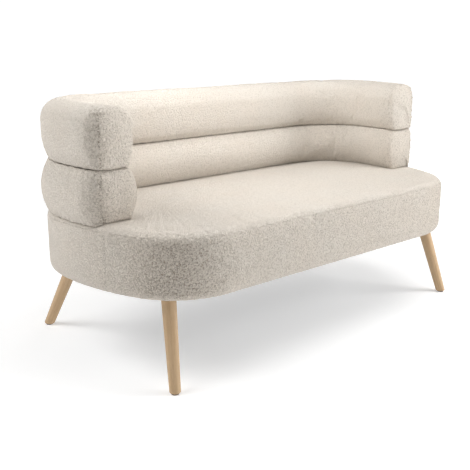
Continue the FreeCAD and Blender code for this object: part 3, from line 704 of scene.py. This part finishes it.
def rollSurface(name, loop):
    # section(u) carried along the outline to both arm ends: there its outer side sweeps in to the
    # corner seam, and it turns in on quarter arcs, whose radius follows the side that a point faces,
    # and closes on a slightly crowned end
    section, hidden, top = loop()
    rounding = [roll["endOuter"], roll["endInner"], roll["endTop"], roll["endBottom"]]
    inside, insideTop = loop(*rounding)[::2]
    step = np.roll(section, -1, axis=0) - np.roll(section, 1, axis=0)
    step /= np.linalg.norm(step, axis=1)[:, None]
    outT, outZ = -step[:, 1], step[:, 0]
    facing = (-outT, outT, outZ, -outZ)
    radius = sum(r * np.maximum(way, 0) ** 2 for r, way in zip(rounding, facing))
    t, z = section.T
    startY = levels["armEnd"] + radius
    reach = np.arcsin((startY - outline["sideY"]) / (outline["sideRadius"] - t))
    stationEnd = sideStart - outline["sideRadius"] * reach
    even = np.linspace(-1, 1, roll["rings"])
    share = (np.sign(even) * (1 - (1 - np.abs(even)) ** roll["crowding"]))[:, None]
    run = share * stationEnd[None, :]
    onArm = np.abs(run) > sideStart
    body = insetPoint(run, np.where(onArm, takeIn(t, z, outlineAt(run)[1], top), t), z)
    endT = takeIn(t, z, startY, top)
    innerZ = inside[:, 1]
    innerT = takeIn(inside[:, 0], innerZ, levels["armEnd"], insideTop, roll["endOuter"])
    turns = np.radians(roll["endTurns"])[:, None]
    tRings = endT + (innerT - endT) * (1 - np.cos(turns))
    zRings = z + (innerZ - z) * (1 - np.cos(turns))
    yRings = levels["armEnd"] + radius * (1 - np.sin(turns))
    share = (np.arange(1, roll["endRows"]) / roll["endRows"])[:, None]
    centre = (innerT.mean(), innerZ.mean())
    tFace = innerT + (centre[0] - innerT) * share
    zFace = innerZ + (centre[1] - innerZ) * share
    yFace = levels["armEnd"] - roll["endCrown"] * (1 - (1 - share) ** 2) + 0 * tFace
    cap = [np.concatenate(pair) for pair in ((tRings, tFace), (yRings, yFace), (zRings, zFace))]
    right = armPoint(1, *cap)
    rings = np.concatenate([armPoint(-1, *cap)[::-1], body, right])
    count, columns = rings.shape[:2]
    tipY = levels["armEnd"] - roll["endCrown"]
    tips = [armPoint(side, centre[0], tipY, centre[1]) for side in (-1, 1)]
    points = np.concatenate([rings.reshape(-1, 3), np.array(tips)])
    faces = gridFaces(count, columns, closeColumns=True)
    faces += fanFaces(list(range(columns)), count * columns, True)
    faces += fanFaces(list(range((count - 1) * columns, count * columns)), count * columns + 1, False)
    ends = np.repeat(stationEnd[None, :], len(right), axis=0)
    station = np.concatenate([-ends, run, ends])
    tipStation = stationEnd.mean()
    piece = addMesh(name, points, faces, np.append(station.ravel(), [-tipStation, tipStation]))
    faceOutwards(piece)
    return piece, np.concatenate([np.tile(hidden, count), [False, False]])


gathers = {
    "groove": 0.0011,                # height of the puckers beside a groove
    "grooveReach": 0.022,
    "grooveWaves": (0.021, 0.033, 0.052),
    "seamDepth": 0.0020,             # how deep the corner seam of an arm end is drawn in
    "seamWidth": 0.0034,
    "seamPucker": 0.0020,            # height of the puckers beside it
    "seamReach": 0.016,
    "seamWaves": (0.012, 0.018, 0.029),
    "stitch": (0.82, 0.4, 0.55),     # a seam's mean depth, how far it varies and its least depth
    "stitchWaves": (0.009, 0.014, 0.023),
    "seamShade": 0.85,               # painted shade: how much of the light the fold of a seam keeps out
    "grooveShade": 0.35,
    "grooveWidth": 0.003,
    "endApartShade": 0.34,               # how far the loops stand apart, with painted shade, on the arm ends
    "endReach": (0.01, 0.10),        # and where that fades out, behind the end
    "seamApartShade": 0.30,              # the same by their corner seams
    "seamApartShadeReach": 0.03,
    "give": 0.0009,                  # furthest that the fabric sinks into the wadding
    "upperBulge": 0.006,             # how far the corner of an arm end bows outwards, halfway up a roll
    "lowerBulge": 0.010,
    "bulgeReach": 0.06,
    "topSeam": 0.35,                 # the seam along the top of the end, as a share of the corner one
    "topSeamIn": 0.005,              # how far it lies in from the end and from the top
    "uneven": 0.0012,                # slow unevenness of a stuffed surface
    "unevenSize": 0.11,
    "clump": 0.00055,                # clumps of yarn loops
    "clumpSize": 0.0095,
}
seamPoint = armPoint(1, roll["seamInset"], levels["armEnd"], 0)


def dressRoll(piece, seed):
    # small moves along the normal: puckers by the grooves and the end seams, clumps of loops
    g = gathers
    p = getPoints(piece)
    n = getNormals(piece)
    toGroove = np.minimum(np.abs(p[:, 2] - levels["groove"]), np.abs(p[:, 2] - levels["seatTop"]))
    pucker = ripple(getStation(piece), g["grooveWaves"], seed)
    lift = g["groove"] * np.exp(-toGroove / g["grooveReach"]) * pucker
    lift += g["uneven"] * lumpNoise(p, g["unevenSize"], seed + 1)
    lift += g["clump"] * lumpNoise(p, g["clumpSize"], seed + 2)
    # upright seam at the outer corner of each arm end, and the fainter one along the end's top edge
    behind = p[:, 1] - levels["armEnd"]
    beyond = np.abs(p[:, 0]) - seamPoint[0]
    toCorner = np.hypot(beyond, behind)
    toTop = np.sqrt((behind - g["topSeamIn"]) ** 2 + (p[:, 2] - levels["top"] + g["topSeamIn"]) ** 2
                    + np.maximum(beyond, 0) ** 2)
    mean, swing, least = g["stitch"]
    # painted shade in the grooves, and below it in the folds of the corner and top seams
    creaseShade = g["grooveShade"] * np.exp(-toGroove / g["grooveWidth"])
    for distance, run, share in ((toCorner, p[:, 2], 1.0), (toTop, p[:, 0], g["topSeam"])):
        broken = np.clip(mean + swing * ripple(run, g["stitchWaves"], seed + 9), least, 1)
        close = share * broken * np.exp(-(distance / g["seamWidth"]) ** 2)
        lift -= g["seamDepth"] * close
        creaseShade = np.maximum(creaseShade, g["seamShade"] * close)
        pucker = ripple(run, g["seamWaves"], seed + 3)
        lift += share * g["seamPucker"] * np.exp(-(distance / g["seamReach"]) ** 2) * pucker
    p = p + n * np.maximum(lift, -g["give"])[:, None]
    # bow = bulge * sin(pi * height in the roll) * exp(-(distance to the corner / reach)^2), outwards
    upper = (p[:, 2] - levels["groove"]) / (levels["top"] - levels["groove"])
    lower = (p[:, 2] - levels["seatTop"]) / (levels["groove"] - levels["seatTop"])
    bow = g["upperBulge"] * np.sin(np.pi * np.clip(upper, 0, 1)) \
        + g["lowerBulge"] * np.sin(np.pi * np.clip(lower, 0, 1))
    p[:, 0] += np.sign(p[:, 0]) * bow * np.exp(-(toCorner / g["bulgeReach"]) ** 2)
    setPoints(piece, p)
    keepShare(piece, "creaseShade", creaseShade)
    # painted shade on the arm ends and by their corner seams, with the loops drawn further apart
    atEnd = 1 - smoothStep(*g["endReach"], p[:, 1] - levels["armEnd"])
    atSeam = np.exp(-(toCorner / g["seamApartShadeReach"]) ** 2)
    keepShare(piece, "apartAndShade", g["endApartShade"] * atEnd + g["seamApartShade"] * atSeam)


def dressCover(piece, held, cap, dress, node, seed):
    inflate(piece, held, cap)
    smoothOnce(piece)
    dress(piece, seed)
    piece.data.materials.append(looped)
    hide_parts(node)
    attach(piece, "root")
    print("made", piece.name, len(piece.data.polygons), "faces")


dressCover(*rollSurface("upper_roll", upperLoop), roll["cap"], dressRoll, "upper_roll_cover", 11)
dressCover(*rollSurface("lower_roll", lowerLoop), roll["cap"], dressRoll, "lower_roll_cover", 23)


# ---------- the seat ----------

def edgeRun(offset, start, end, count, up):
    # part of a rounded edge as (inset, height): a quarter circle, moved in by offset, between two
    # angles from the horizontal; up is 1 for the upper edge and -1 for the lower
    radius = seat["topRound"] if up > 0 else seat["bottomRound"]
    centreZ = levels["seatTop"] - radius if up > 0 else levels["underside"] + radius
    angle = np.linspace(start, end, count)
    small = radius - offset
    return np.stack([radius - small * np.cos(angle), centreZ + up * small * np.sin(angle)], axis=-1)


seamAngle = math.asin(1 - seat["seamDrop"] / seat["topRound"])
seamZ = levels["seatTop"] - seat["seamDrop"]


def seamLip(side):
    # fabric turning in at the boxing seam, above it (side 1) or below it (side -1): two rows, at
    # twice the lip's depth and near the surface
    t = seat["topRound"] - seat["topRound"] * math.cos(seamAngle)
    lip = seat["seamLip"]
    deep = (t + 2.0 * lip, seamZ + side * 0.02 * lip)
    shallow = (t + 0.7 * lip, seamZ + side * 0.04 * lip)
    return np.array([deep, shallow])


def crownAt(x, y):
    # height of the crown: nothing by the rolls and the front edge, most in the middle
    clear, rise = zip(seat["crownEnds"], seat["crownBack"], seat["crownFront"])
    reach = smoothStep(0.0, rise[0], plan["halfLength"] - clear[0] - np.abs(x)) \
        * smoothStep(0.0, rise[1], plan["backY"] - clear[1] - y) \
        * smoothStep(0.0, rise[2], y - plan["frontY"] - clear[2])
    return seat["crown"] * reach


def carryProfile(profile):
    # (inset, height) rows carried round the whole outline
    station = np.linspace(-halfLoop, halfLoop, seat["around"], endpoint=False)
    return insetPoint(station[None, :], profile[:, 0:1], profile[:, 1:2])


def topRings(offset, edgeRows, flatRows):
    # rings from the boxing seam over the rounded edge, then straight in to a line along the middle
    rings = carryProfile(edgeRun(offset, seamAngle + seat["seamOpen"], quarter, edgeRows, 1))
    edge = rings[-1]
    middleX = np.clip(edge[:, 0] * seat["spineShare"], -seat["spine"], seat["spine"])
    middleY = np.full(len(edge), (plan["frontY"] + plan["backY"]) / 2)
    middle = np.stack([middleX, middleY, edge[:, 2]], axis=-1)
    share = (np.arange(1, flatRows) / flatRows)[:, None, None]
    rings = np.concatenate([rings, edge + (middle - edge) * share])
    rings[..., 2] += crownAt(rings[..., 0], rings[..., 1])
    return rings


def middleFaces(start, count, flip):
    # closes the innermost ring over the middle line, each point with the one across it
    faces = []
    steps = count // 4
    for half in (0, 2 * steps):
        near = [start + (half + k) % count for k in range(steps + 1)]
        far = [start + (half + 2 * steps - k) % count for k in range(steps + 1)]
        faces += [[near[k], near[k + 1], far[k + 1], far[k]] for k in range(steps - 1)]
        faces.append([near[-2], near[-1], far[-2]])
    return [face[::-1] for face in faces] if flip else faces


def addRound(name, rows, faces):
    # closed mesh of rows of points that run round the whole outline
    station = np.tile(np.linspace(-halfLoop, halfLoop, seat["around"], endpoint=False), len(rows))
    piece = addMesh(name, rows.reshape(-1, 3), faces, station)
    faceOutwards(piece)
    return piece


def makeTopPanel():
    # outer rings over the edge and across, inner rings the same less the gauge, joined at the seam
    outer = topRings(0.0, *seat["topRows"])
    inner = topRings(seat["gauge"], *seat["innerRows"])
    lip = carryProfile(seamLip(1))
    rows = np.concatenate([inner[::-1], lip, outer])
    count = seat["around"]
    faces = gridFaces(len(rows), count, closeColumns=True)
    faces += middleFaces(0, count, True)
    faces += middleFaces((len(rows) - 1) * count, count, False)
    held = np.zeros((len(rows), count), bool)
    held[:len(inner) + len(lip) + 1] = True
    x, y, z = np.moveaxis(rows, -1, 0)
    byBack = y > plan["backY"] - seat["underRoll"]
    byEnd = np.abs(x) > plan["halfLength"] - seat["underRoll"]
    byEnd &= y > levels["armEnd"] - seat["underFront"]
    held |= (byBack | byEnd) & (z > levels["seatTop"] - seat["underDrop"])
    return addRound("seat_top_panel", rows, faces), held.ravel()


def makeBorder():
    # one closed band: lip at the seam, edge, side, lower edge and tuck, then back inside by the gauge
    tuckEnd = seat["bottomRound"] + seat["tuck"]
    hem = tuckEnd - seat["tuckHem"]
    low = levels["underside"]
    sideTop = levels["seatTop"] - seat["topRound"]
    sideLow = low + seat["bottomRound"]
    seam = seamAngle - seat["seamOpen"]
    gauge = seat["gauge"]
    outer = np.concatenate([
        seamLip(-1), edgeRun(0.0, seam, 0, 3, 1), straightRun((0, sideTop), (0, sideLow), 18)[1:],
        edgeRun(0.0, 0, quarter, 8, -1), [(hem, low), (tuckEnd, low)]])
    inner = np.concatenate([
        [(tuckEnd, low + gauge), (hem, low + gauge)], edgeRun(gauge, quarter, 0, 5, -1),
        straightRun((gauge, sideLow), (gauge, sideTop), 3)[1:], edgeRun(gauge, 0, seam, 2, 1)])
    rows = carryProfile(np.concatenate([outer, inner]))
    faces = gridFaces(len(rows), seat["around"], closeRows=True, closeColumns=True)
    # held are the rows by the seam, and all of them from the lower edge's end inwards
    held = np.zeros(rows.shape[:2], bool)
    held[:3] = True
    held[len(outer) - 5:] = True
    return addRound("seat_border", rows, faces), held.ravel()


def dressSeat(piece, seed):
    # puckers beside the boxing seam, the upright seams of the border, slow unevenness, clumps of loops
    s = seat
    p = getPoints(piece)
    n = getNormals(piece)
    along = getStation(piece)
    above = p[:, 2] - levels["underside"]
    below = seamZ - p[:, 2]
    pucker = ripple(along, s["puckerWaves"], seed)
    pucker += s["slowShare"] * ripple(along, s["slowWaves"], seed + 5)
    shown = 1 - smoothStep(*s["besideRoll"], p[:, 1] - levels["armEnd"])
    pucker *= s["hiddenShare"] + (1 - s["hiddenShare"]) * shown
    lift = s["pucker"] * np.exp(-np.abs(below) / s["puckerReach"]) * pucker
    uneven = gathers["uneven"] * smoothStep(*s["evenFoot"], above)
    lift += uneven * lumpNoise(p, s["unevenSize"], seed + 1)
    loose = 1 - s["tightShare"] * smoothStep(*s["tightTop"], n[:, 2])
    lift += gathers["clump"] * loose * lumpNoise(p, gathers["clumpSize"], seed + 2)
    fromUpright = np.abs(np.abs(along) - s["uprightSeam"])
    upright = np.exp(-(fromUpright / s["uprightWidth"]) ** 2) * smoothStep(0.0, s["uprightRise"], below)
    lift -= s["uprightDepth"] * upright
    setPoints(piece, p + n * np.maximum(lift, -gathers["give"])[:, None])
    # painted shade in the fold of the boxing seam, in front of the rolls, and of the upright seams
    seam = s["seamShade"] * shown * np.exp(-(np.abs(below) / s["seamWidth"]) ** 2)
    keepShare(piece, "creaseShade", np.maximum(seam, s["uprightShade"] * upright))
    # on faces turned to the front, most round the front corners where the fabric is pulled, the loops
    # are drawn further apart and darker: painted shade
    front = np.clip(-n[:, 1], 0, 1) * (s["cornerApartShade"] * np.abs(n[:, 0]) + s["frontApartShade"])
    keepShare(piece, "apartAndShade", front * smoothStep(-s["apartAndShadeFade"], s["apartAndShadeFade"], below))


dressCover(*makeTopPanel(), seat["cap"], dressSeat, "seat_top_cover", 31)
dressCover(*makeBorder(), seat["cap"], dressSeat, "seat_border_cover", 47)


# ---------- the legs ----------

oak = {
    "pale": (0.60, 0.43, 0.26),
    "dark": (0.43, 0.28, 0.15),
    "pore": (0.30, 0.19, 0.10),
    "grainScale": 150.0,             # grain lines to the metre, nearly
    "stretch": 20.0,                 # how many times longer than wide a grain line is
    "roughness": 0.5,
}
grainLook = {
    "slowScale": 14.0,               # slow changes of tone, to the metre
    "slowShare": 0.6,
    "contrast": 1.5,
    "level": -0.6,
    "poreScale": 4.0,                # pores to each grain line
    "poreLevel": 0.64,
    "poreShare": 0.4,
    "poreRelief": 0.4,
    "unevenGloss": 0.15,
    "glossLevel": -0.07,
    "specular": 0.4,
    "depth": 0.0004,
    "strength": 0.6,
}


def makeWood(name, w, turn=(0, 0, 0)):
    # straight grain: noise drawn out along the piece's own length, over slow changes of tone
    g = grainLook
    material, tree, shader = newMaterial(name, specular=g["specular"])
    coords = objectCoords(tree, turn, (1, 1, w["stretch"]))
    grain = noise(tree, coords, w["grainScale"], 4.0, 0.3)
    pores = noise(tree, coords, w["grainScale"] * g["poreScale"])
    slow = noise(tree, coords, g["slowScale"], 2.0, 0.6)
    slow = scaled(tree, slow, g["slowShare"], g["level"])
    tone = scaled(tree, grain, g["contrast"], slow, clamp=True)
    colour = mixColour(tree, tone, w["dark"], w["pale"])
    openPore = mathNode(tree, "GREATER_THAN", pores, g["poreLevel"])
    colour = mixColour(tree, mathNode(tree, "MULTIPLY", openPore, g["poreShare"]), colour, w["pore"])
    rough = scaled(tree, grain, g["unevenGloss"], w["roughness"] + g["glossLevel"])
    tree.links.new(rough, shader.inputs["Roughness"])
    relief = scaled(tree, pores, g["poreRelief"], grain)
    setSurface(tree, shader, colour, relief, g["depth"], g["strength"])
    return material


def setMaterial(node, material):
    mesh = nodes[node].data
    mesh.materials.clear()
    mesh.materials.append(material)


def legAxis(node):
    # middle of the leg's level top and of its level foot, each within half a millimetre
    points = np.array([nodes[node].matrix_world @ v.co for v in nodes[node].data.vertices])
    ends = []
    for level in (points[:, 2].max(), points[:, 2].min()):
        rim = points[np.abs(points[:, 2] - level) < 0.0005]
        ends.append((rim.min(axis=0) + rim.max(axis=0)) / 2)
    return ends


legAxes = {}
for place in ("front_right", "front_left", "rear_right", "rear_left"):
    top, foot = legAxis("leg_" + place)
    legAxes[place] = (top, foot)
    turn = Vector((0, 0, 1)).rotation_difference(Vector(top - foot)).to_euler("XYZ")
    setMaterial("leg_" + place, makeWood("oak_" + place, oak, tuple(turn)))
print("legs finished")


# ---------- the dust cover under the seat ----------

dustCloth = {
    "inset": 0.034,
    "gauge": 0.0007,
    "sag": 0.005,                    # how far its middle hangs
    "sagReach": (0.01, 0.17),        # from its edge inwards
    "pucker": 0.0011,                # how far it hangs between two staples
    "puckerReach": 0.03,
    "pitch": 0.060,                  # of the staples
    "legRadius": 0.0215,
    "holeGap": 0.0012,               # round each leg
    "spacing": (0.016, 0.01488),     # of the points of its mesh, lengthways and across,
    "around": 360,                   # how many of them run round its edge,
    "edgeGap": 0.008,                # and how far the others stay from it
    "rimGap": 1.3,                   # and from a hole's middle, as a share of its radius
    "slack": 0.0012,                 # slow waves across it
    "slackWaves": (0.31, 0.19),
    "slackReach": (0.04, 0.15),
    "colour": (0.040, 0.039, 0.040),
    "thread": (0.075, 0.073, 0.072),
    "weave": 1300.0,
    "fuzz": 500.0,
    "contrast": 0.66,
    "depth": 0.0003,
    "strength": 0.7,
    "roughness": 0.9,
}


def legHole(place, level, radius, count=36):
    # slanted section of a leg at a level, and its middle: a circle drawn out along the leg's lean
    top, foot = legAxes[place]
    lean = (foot - top) / (top[2] - foot[2])
    centre = (top + lean * (top[2] - level))[:2]
    longer = math.sqrt(1 + lean[0] ** 2 + lean[1] ** 2) - 1
    way = lean[:2] / np.linalg.norm(lean[:2])
    angle = np.linspace(0, 2 * np.pi, count, endpoint=False)
    ring = np.stack([np.cos(angle), np.sin(angle)], axis=-1)
    return centre + radius * (ring + longer * (ring @ way)[:, None] * way), centre


def nearestOf(edge, points):
    # for each point the number of the nearest edge point, and the way from there to it
    away = points[:, None, :] - edge[None, :, :]
    nearest = np.argmin((away ** 2).sum(axis=2), axis=1)
    return nearest, away[np.arange(len(points)), nearest]


def makeDustCloth(d):
    # flat plan filled with triangles, hung between its staples and round the legs
    low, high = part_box("dust_cover")
    station = np.linspace(-halfLoop, halfLoop, d["around"], endpoint=False)
    edge = insetPoint(station, d["inset"], low.z)[:, :2]
    radius = d["legRadius"] + d["holeGap"]
    holes = [legHole(place, low.z, radius) for place in legAxes]
    lines = [np.arange(-60, 61) * gap for gap in d["spacing"]]
    grid = np.stack(np.meshgrid(*lines), axis=-1).reshape(-1, 2)
    nearest, away = nearestOf(edge, grid)
    outward = np.stack(outlineAt(station)[2:], axis=-1)[nearest]
    depth = -(away * outward).sum(axis=1)
    inside = depth > d["edgeGap"]
    for rim, centre in holes:
        inside &= np.linalg.norm(grid - centre, axis=1) > radius * d["rimGap"]
    loops = [edge] + [rim for rim, centre in holes]
    edges = []
    start = 0
    for loop in loops:
        edges += [(start + k, start + (k + 1) % len(loop)) for k in range(len(loop))]
        start += len(loop)
    flat = [Vector(v) for v in np.concatenate(loops + [grid[inside]])]
    # kind 2 keeps the faces inside the outer edge and outside the holes
    filled = delaunay_2d_cdt(flat, edges, [], 2, 1e-6)
    flat = np.array([tuple(v) for v in filled[0]])
    faces = [list(face) for face in filled[2]]
    nearest, away = nearestOf(edge, flat)
    depth = np.linalg.norm(away, axis=1)
    step = halfLoop / int(halfLoop / d["pitch"])
    between = 0.5 + 0.5 * np.cos(2 * np.pi * station[nearest] / step)
    hang = d["sag"] * smoothStep(*d["sagReach"], depth)
    hang += d["pucker"] * between * np.exp(-depth / d["puckerReach"])
    hang += d["slack"] * ripple(flat[:, 0], d["slackWaves"], 5) * smoothStep(*d["slackReach"], depth)
    z = (low.z + high.z) / 2 - hang
    piece = addMesh("dust_cloth", np.column_stack([flat, z]), faces)
    thicken = piece.modifiers.new("gauge", "SOLIDIFY")
    thicken.thickness = d["gauge"]
    thicken.offset = 0
    freezeModifiers(piece)
    faceOutwards(piece)
    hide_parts("dust_cover")
    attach(piece, "root")
    # the plan's area, half the sum of x1 y2 - y1 x2 round its edge, less the four holes
    after = np.roll(edge, -1, axis=0)
    area = 0.5 * abs((edge[:, 0] * after[:, 1] - edge[:, 1] * after[:, 0]).sum())
    area -= 4 * math.pi * radius ** 2
    return piece


def makeDustMaterial(d):
    # two crossing sets of fine threads
    material, tree, shader = newMaterial("dust_cloth_black", d["roughness"])
    coords = objectCoords(tree)
    threads = [sineBands(tree, coords, axis, d["weave"]) for axis in (0, 1)]
    weave = scaled(tree, mathNode(tree, "MAXIMUM", *threads), 0.5, 0.5)
    height = scaled(tree, noise(tree, coords, d["fuzz"], 3.0), 0.5, weave)
    shown = mathNode(tree, "MULTIPLY", height, d["contrast"])
    colour = mixColour(tree, shown, d["colour"], d["thread"])
    setSurface(tree, shader, colour, height, d["depth"], d["strength"])
    return material


makeDustCloth(dustCloth).data.materials.append(makeDustMaterial(dustCloth))
print("dust cloth hung")


# ---------- what the covers hide: frame, springs, padding, fixings ----------

beech = {
    "pale": (0.66, 0.47, 0.31),
    "dark": (0.50, 0.33, 0.20),
    "pore": (0.36, 0.21, 0.12),
    "grainScale": 190.0,
    "stretch": 12.0,
    "roughness": 0.7,
}
ply = {
    "pale": (0.68, 0.53, 0.36),
    "dark": (0.40, 0.27, 0.16),
    "layer": 0.0015,                 # thickness of one veneer
    "bandShare": 0.22,
    "grainScale": 240.0,
    "grainShare": 0.8,
    "level": 0.05,
    "depth": 0.0003,
    "strength": 0.6,
    "roughness": 0.7,
}
# colour, colour of its hollows, pattern scale, bump depth, roughness, metal
plain = {
    "hardboard": ((0.33, 0.20, 0.11), (0.20, 0.12, 0.06), 420.0, 0.0003, 0.65, 0),
    "foam": ((0.84, 0.78, 0.62), (0.66, 0.58, 0.42), 700.0, 0.0007, 0.95, 0),
    "wadding": ((0.86, 0.82, 0.75), (0.70, 0.65, 0.57), 260.0, 0.0012, 1.0, 0),
    "felt": ((0.22, 0.22, 0.21), (0.10, 0.10, 0.10), 380.0, 0.0008, 1.0, 0),
    "nylon": ((0.045, 0.044, 0.042), (0.030, 0.029, 0.028), 300.0, 0.0001, 0.45, 0),
    "plated_steel": ((0.66, 0.66, 0.64), (0.48, 0.48, 0.46), 220.0, 0.00005, 0.32, 1),
    "spring_steel": ((0.30, 0.30, 0.31), (0.16, 0.16, 0.17), 160.0, 0.00005, 0.42, 1),
}
plainLook = {
    "slower": 12.0,                  # how many times larger the slow changes are than the grain
    "slowShare": 0.5,
    "contrast": 1.6,
    "level": -0.7,
    "unevenGloss": 0.1,
    "glossLevel": -0.05,
}


def makePlain(name, colour, hollow, scale, depth, roughness, metal):
    # one stuff with fine grain: noise for the colour, the same noise for its relief and its sheen
    g = plainLook
    material, tree, shader = newMaterial(name)
    coords = objectCoords(tree)
    grain = noise(tree, coords, scale, 4.0)
    slow = noise(tree, coords, scale / g["slower"])
    height = scaled(tree, slow, g["slowShare"], grain)
    tone = scaled(tree, height, g["contrast"], g["level"], clamp=True)
    rough = scaled(tree, grain, g["unevenGloss"], roughness + g["glossLevel"])
    tree.links.new(rough, shader.inputs["Roughness"])
    shader.inputs["Metallic"].default_value = metal
    setSurface(tree, shader, mixColour(tree, tone, hollow, colour), height, depth)
    return material


def makePlywood(name, p, axis):
    # veneers across the board's thickness, seen as bands on its edges, under a faint grain
    material, tree, shader = newMaterial(name, p["roughness"])
    coords = objectCoords(tree)
    bands = sineBands(tree, coords, axis, math.pi / p["layer"])
    grain = noise(tree, coords, p["grainScale"], 3.0, 0.5)
    level = scaled(tree, grain, p["grainShare"], p["level"])
    tone = scaled(tree, bands, p["bandShare"], level, clamp=True)
    colour = mixColour(tree, tone, p["dark"], p["pale"])
    setSurface(tree, shader, colour, grain, p["depth"], p["strength"])
    return material


finishes = {key: makePlain(key + "_plain", *values) for key, values in plain.items()}
finishes["beech"] = makeWood("beech_upright", beech)
finishes["beech_across"] = makeWood("beech_across", beech, (0, quarter, 0))
finishes["beech_lengthways"] = makeWood("beech_lengthways", beech, (quarter, 0, 0))
finishes["plywood"] = makePlywood("plywood_level", ply, 2)
finishes["plywood_upright"] = makePlywood("plywood_upright", ply, 1)
# what is made of each stuff, by the start of its node's name
madeOf = {
    "plywood": ("back_bottom_rail", "back_middle_rail", "back_top_rail", "seat_base_ring",
                "seat_top_ring"),
    "plywood_upright": ("arm_end_board",),
    "plated_steel": ("back_bolt", "back_tee_nuts", "dust_cover_staples", "hanger_bolts", "spring_clips",
                     "threaded_inserts"),
    "spring_steel": ("zigzag_springs",),
    "hardboard": ("back_inner_skin", "back_outer_skin", "seat_edge_board"),
    "beech": ("back_mount_blocks", "back_post", "leg_block"),
    "beech_across": ("seat_front_rail", "seat_rear_rail"),
    "beech_lengthways": ("seat_cross_rail", "seat_end_rail"),
    "nylon": ("glide",),
    "foam": ("lower_roll_foam", "upper_roll_foam", "seat_foam", "seat_side_foam"),
    "wadding": ("lower_roll_wadding", "upper_roll_wadding", "seat_wadding"),
    "felt": ("spring_felt",),
}
for stuff, starts in madeOf.items():
    for node in nodes:
        if node.startswith(starts):
            setMaterial(node, finishes[stuff])
print("hidden parts finished")


# ---------- floor, light and camera ----------

studio = {
    "floor": 0.80,
    "floorSize": 60.0,               # from its middle to an edge
    "floorGlow": 0.40,
    "farGlow": 1.0,                  # where the floor runs into the white horizon
    "glowReach": (1.6, 4.0),         # from the one to the other
    "floorRoughness": 0.9,
    "floorSpecular": 0.1,
    "skyTop": 0.08,
    "horizon": 1.05,
    "skyRise": 4.0,                  # how fast the one goes over into the other above the level
    "skyStart": -0.25,
    "target": (-0.0853, 0.0295, 0.2761),
    "turn": -41.973,                 # camera round the sofa from straight in front, degrees
    "rise": 14.994,                  # camera above the level, degrees
    "distance": 2.6153,
    "lens": 58.20,
    "sensor": 36.0,
}
middle = (0, 0, 0.4)
rightArm = (0.6, 0.05, 0.5)
# place, what it points at, side of the square, power in watts
softboxes = {
    "front_right": ((2.3, -2.2, 1.3), middle, 1.6, 68),
    "front_high": ((0.9, -1.0, 2.8), middle, 1.4, 26),
    "over_seat": ((-0.35, -0.15, 1.45), rightArm, 0.7, 8.5),
    "left_back": ((-2.2, 1.8, 2.4), middle, 1.4, 37),
    "left_high": ((-2.2, 0.6, 2.6), middle, 1.6, 27),
    "right_back": ((2.4, 2.2, 1.8), middle, 1.6, 14),
    "top": ((0.3, 0.2, 3.0), middle, 2.4, 4),
}


def makeFloor():
    # wide level sheet; nothing stands on it but the sofa
    s = studio
    corners = [(-1, -1, 0), (1, -1, 0), (1, 1, 0), (-1, 1, 0)]
    piece = addMesh("studio_floor", s["floorSize"] * np.array(corners, float), [[0, 1, 2, 3]])
    material, tree, shader = newMaterial("studio_floor_white", s["floorRoughness"], s["floorSpecular"])
    shader.inputs["Base Color"].default_value = (s["floor"],) * 3 + (1,)
    shader.inputs["Emission Color"].default_value = (1, 1, 1, 1)
    coords = addNode(tree, "ShaderNodeTexCoord")
    reach = addNode(tree, "ShaderNodeVectorMath", operation="LENGTH")
    tree.links.new(coords.outputs["Object"], reach.inputs[0])
    start, end = s["glowReach"]
    values = {"From Min": start, "From Max": end, "To Min": s["floorGlow"], "To Max": s["farGlow"]}
    far = addNode(tree, "ShaderNodeMapRange", values, interpolation_type="SMOOTHSTEP")
    tree.links.new(reach.outputs["Value"], far.inputs["Value"])
    tree.links.new(far.outputs["Result"], shader.inputs["Emission Strength"])
    piece.data.materials.append(material)


def addSoftbox(name, place, aim, size, power):
    light = bpy.data.lights.new("softbox_" + name, "AREA")
    light.size = size
    light.energy = power
    lamp = bpy.data.objects.new(light.name, light)
    bpy.context.scene.collection.objects.link(lamp)
    lamp.location = place
    lamp.rotation_euler = (Vector(aim) - Vector(place)).to_track_quat("-Z", "Y").to_euler()


def makeSky():
    # a white band by the horizon and a dimmer dome over it, by the height of the direction looked in
    world = bpy.data.worlds.new("studio")
    world.use_nodes = True
    tree = world.node_tree
    coords = addNode(tree, "ShaderNodeTexCoord")
    height = axisPart(tree, coords.outputs["Generated"], 2)
    rise = scaled(tree, height, studio["skyRise"], studio["skyStart"], clamp=True)
    fade = studio["skyTop"] - studio["horizon"]
    strength = scaled(tree, rise, fade, studio["horizon"])
    background = tree.nodes["Background"]
    background.inputs["Color"].default_value = (1, 1, 1, 1)
    tree.links.new(strength, background.inputs["Strength"])
    bpy.context.scene.world = world


def makeStudio():
    makeSky()
    for name, (place, aim, size, power) in softboxes.items():
        addSoftbox(name, place, aim, size, power)
    camera = bpy.data.cameras.new("studio_camera")
    camera.lens = studio["lens"]
    camera.sensor_width = studio["sensor"]
    body = bpy.data.objects.new("studio_camera", camera)
    bpy.context.scene.collection.objects.link(body)
    turn = math.radians(studio["turn"])
    rise = math.radians(studio["rise"])
    back = Vector((math.sin(turn) * math.cos(rise), -math.cos(turn) * math.cos(rise), math.sin(rise)))
    body.location = Vector(studio["target"]) + back * studio["distance"]
    body.rotation_euler = back.to_track_quat("Z", "Y").to_euler()
    bpy.context.scene.camera = body
    bpy.context.scene.view_settings.view_transform = "Standard"


makeFloor()
makeStudio()
print("studio set")
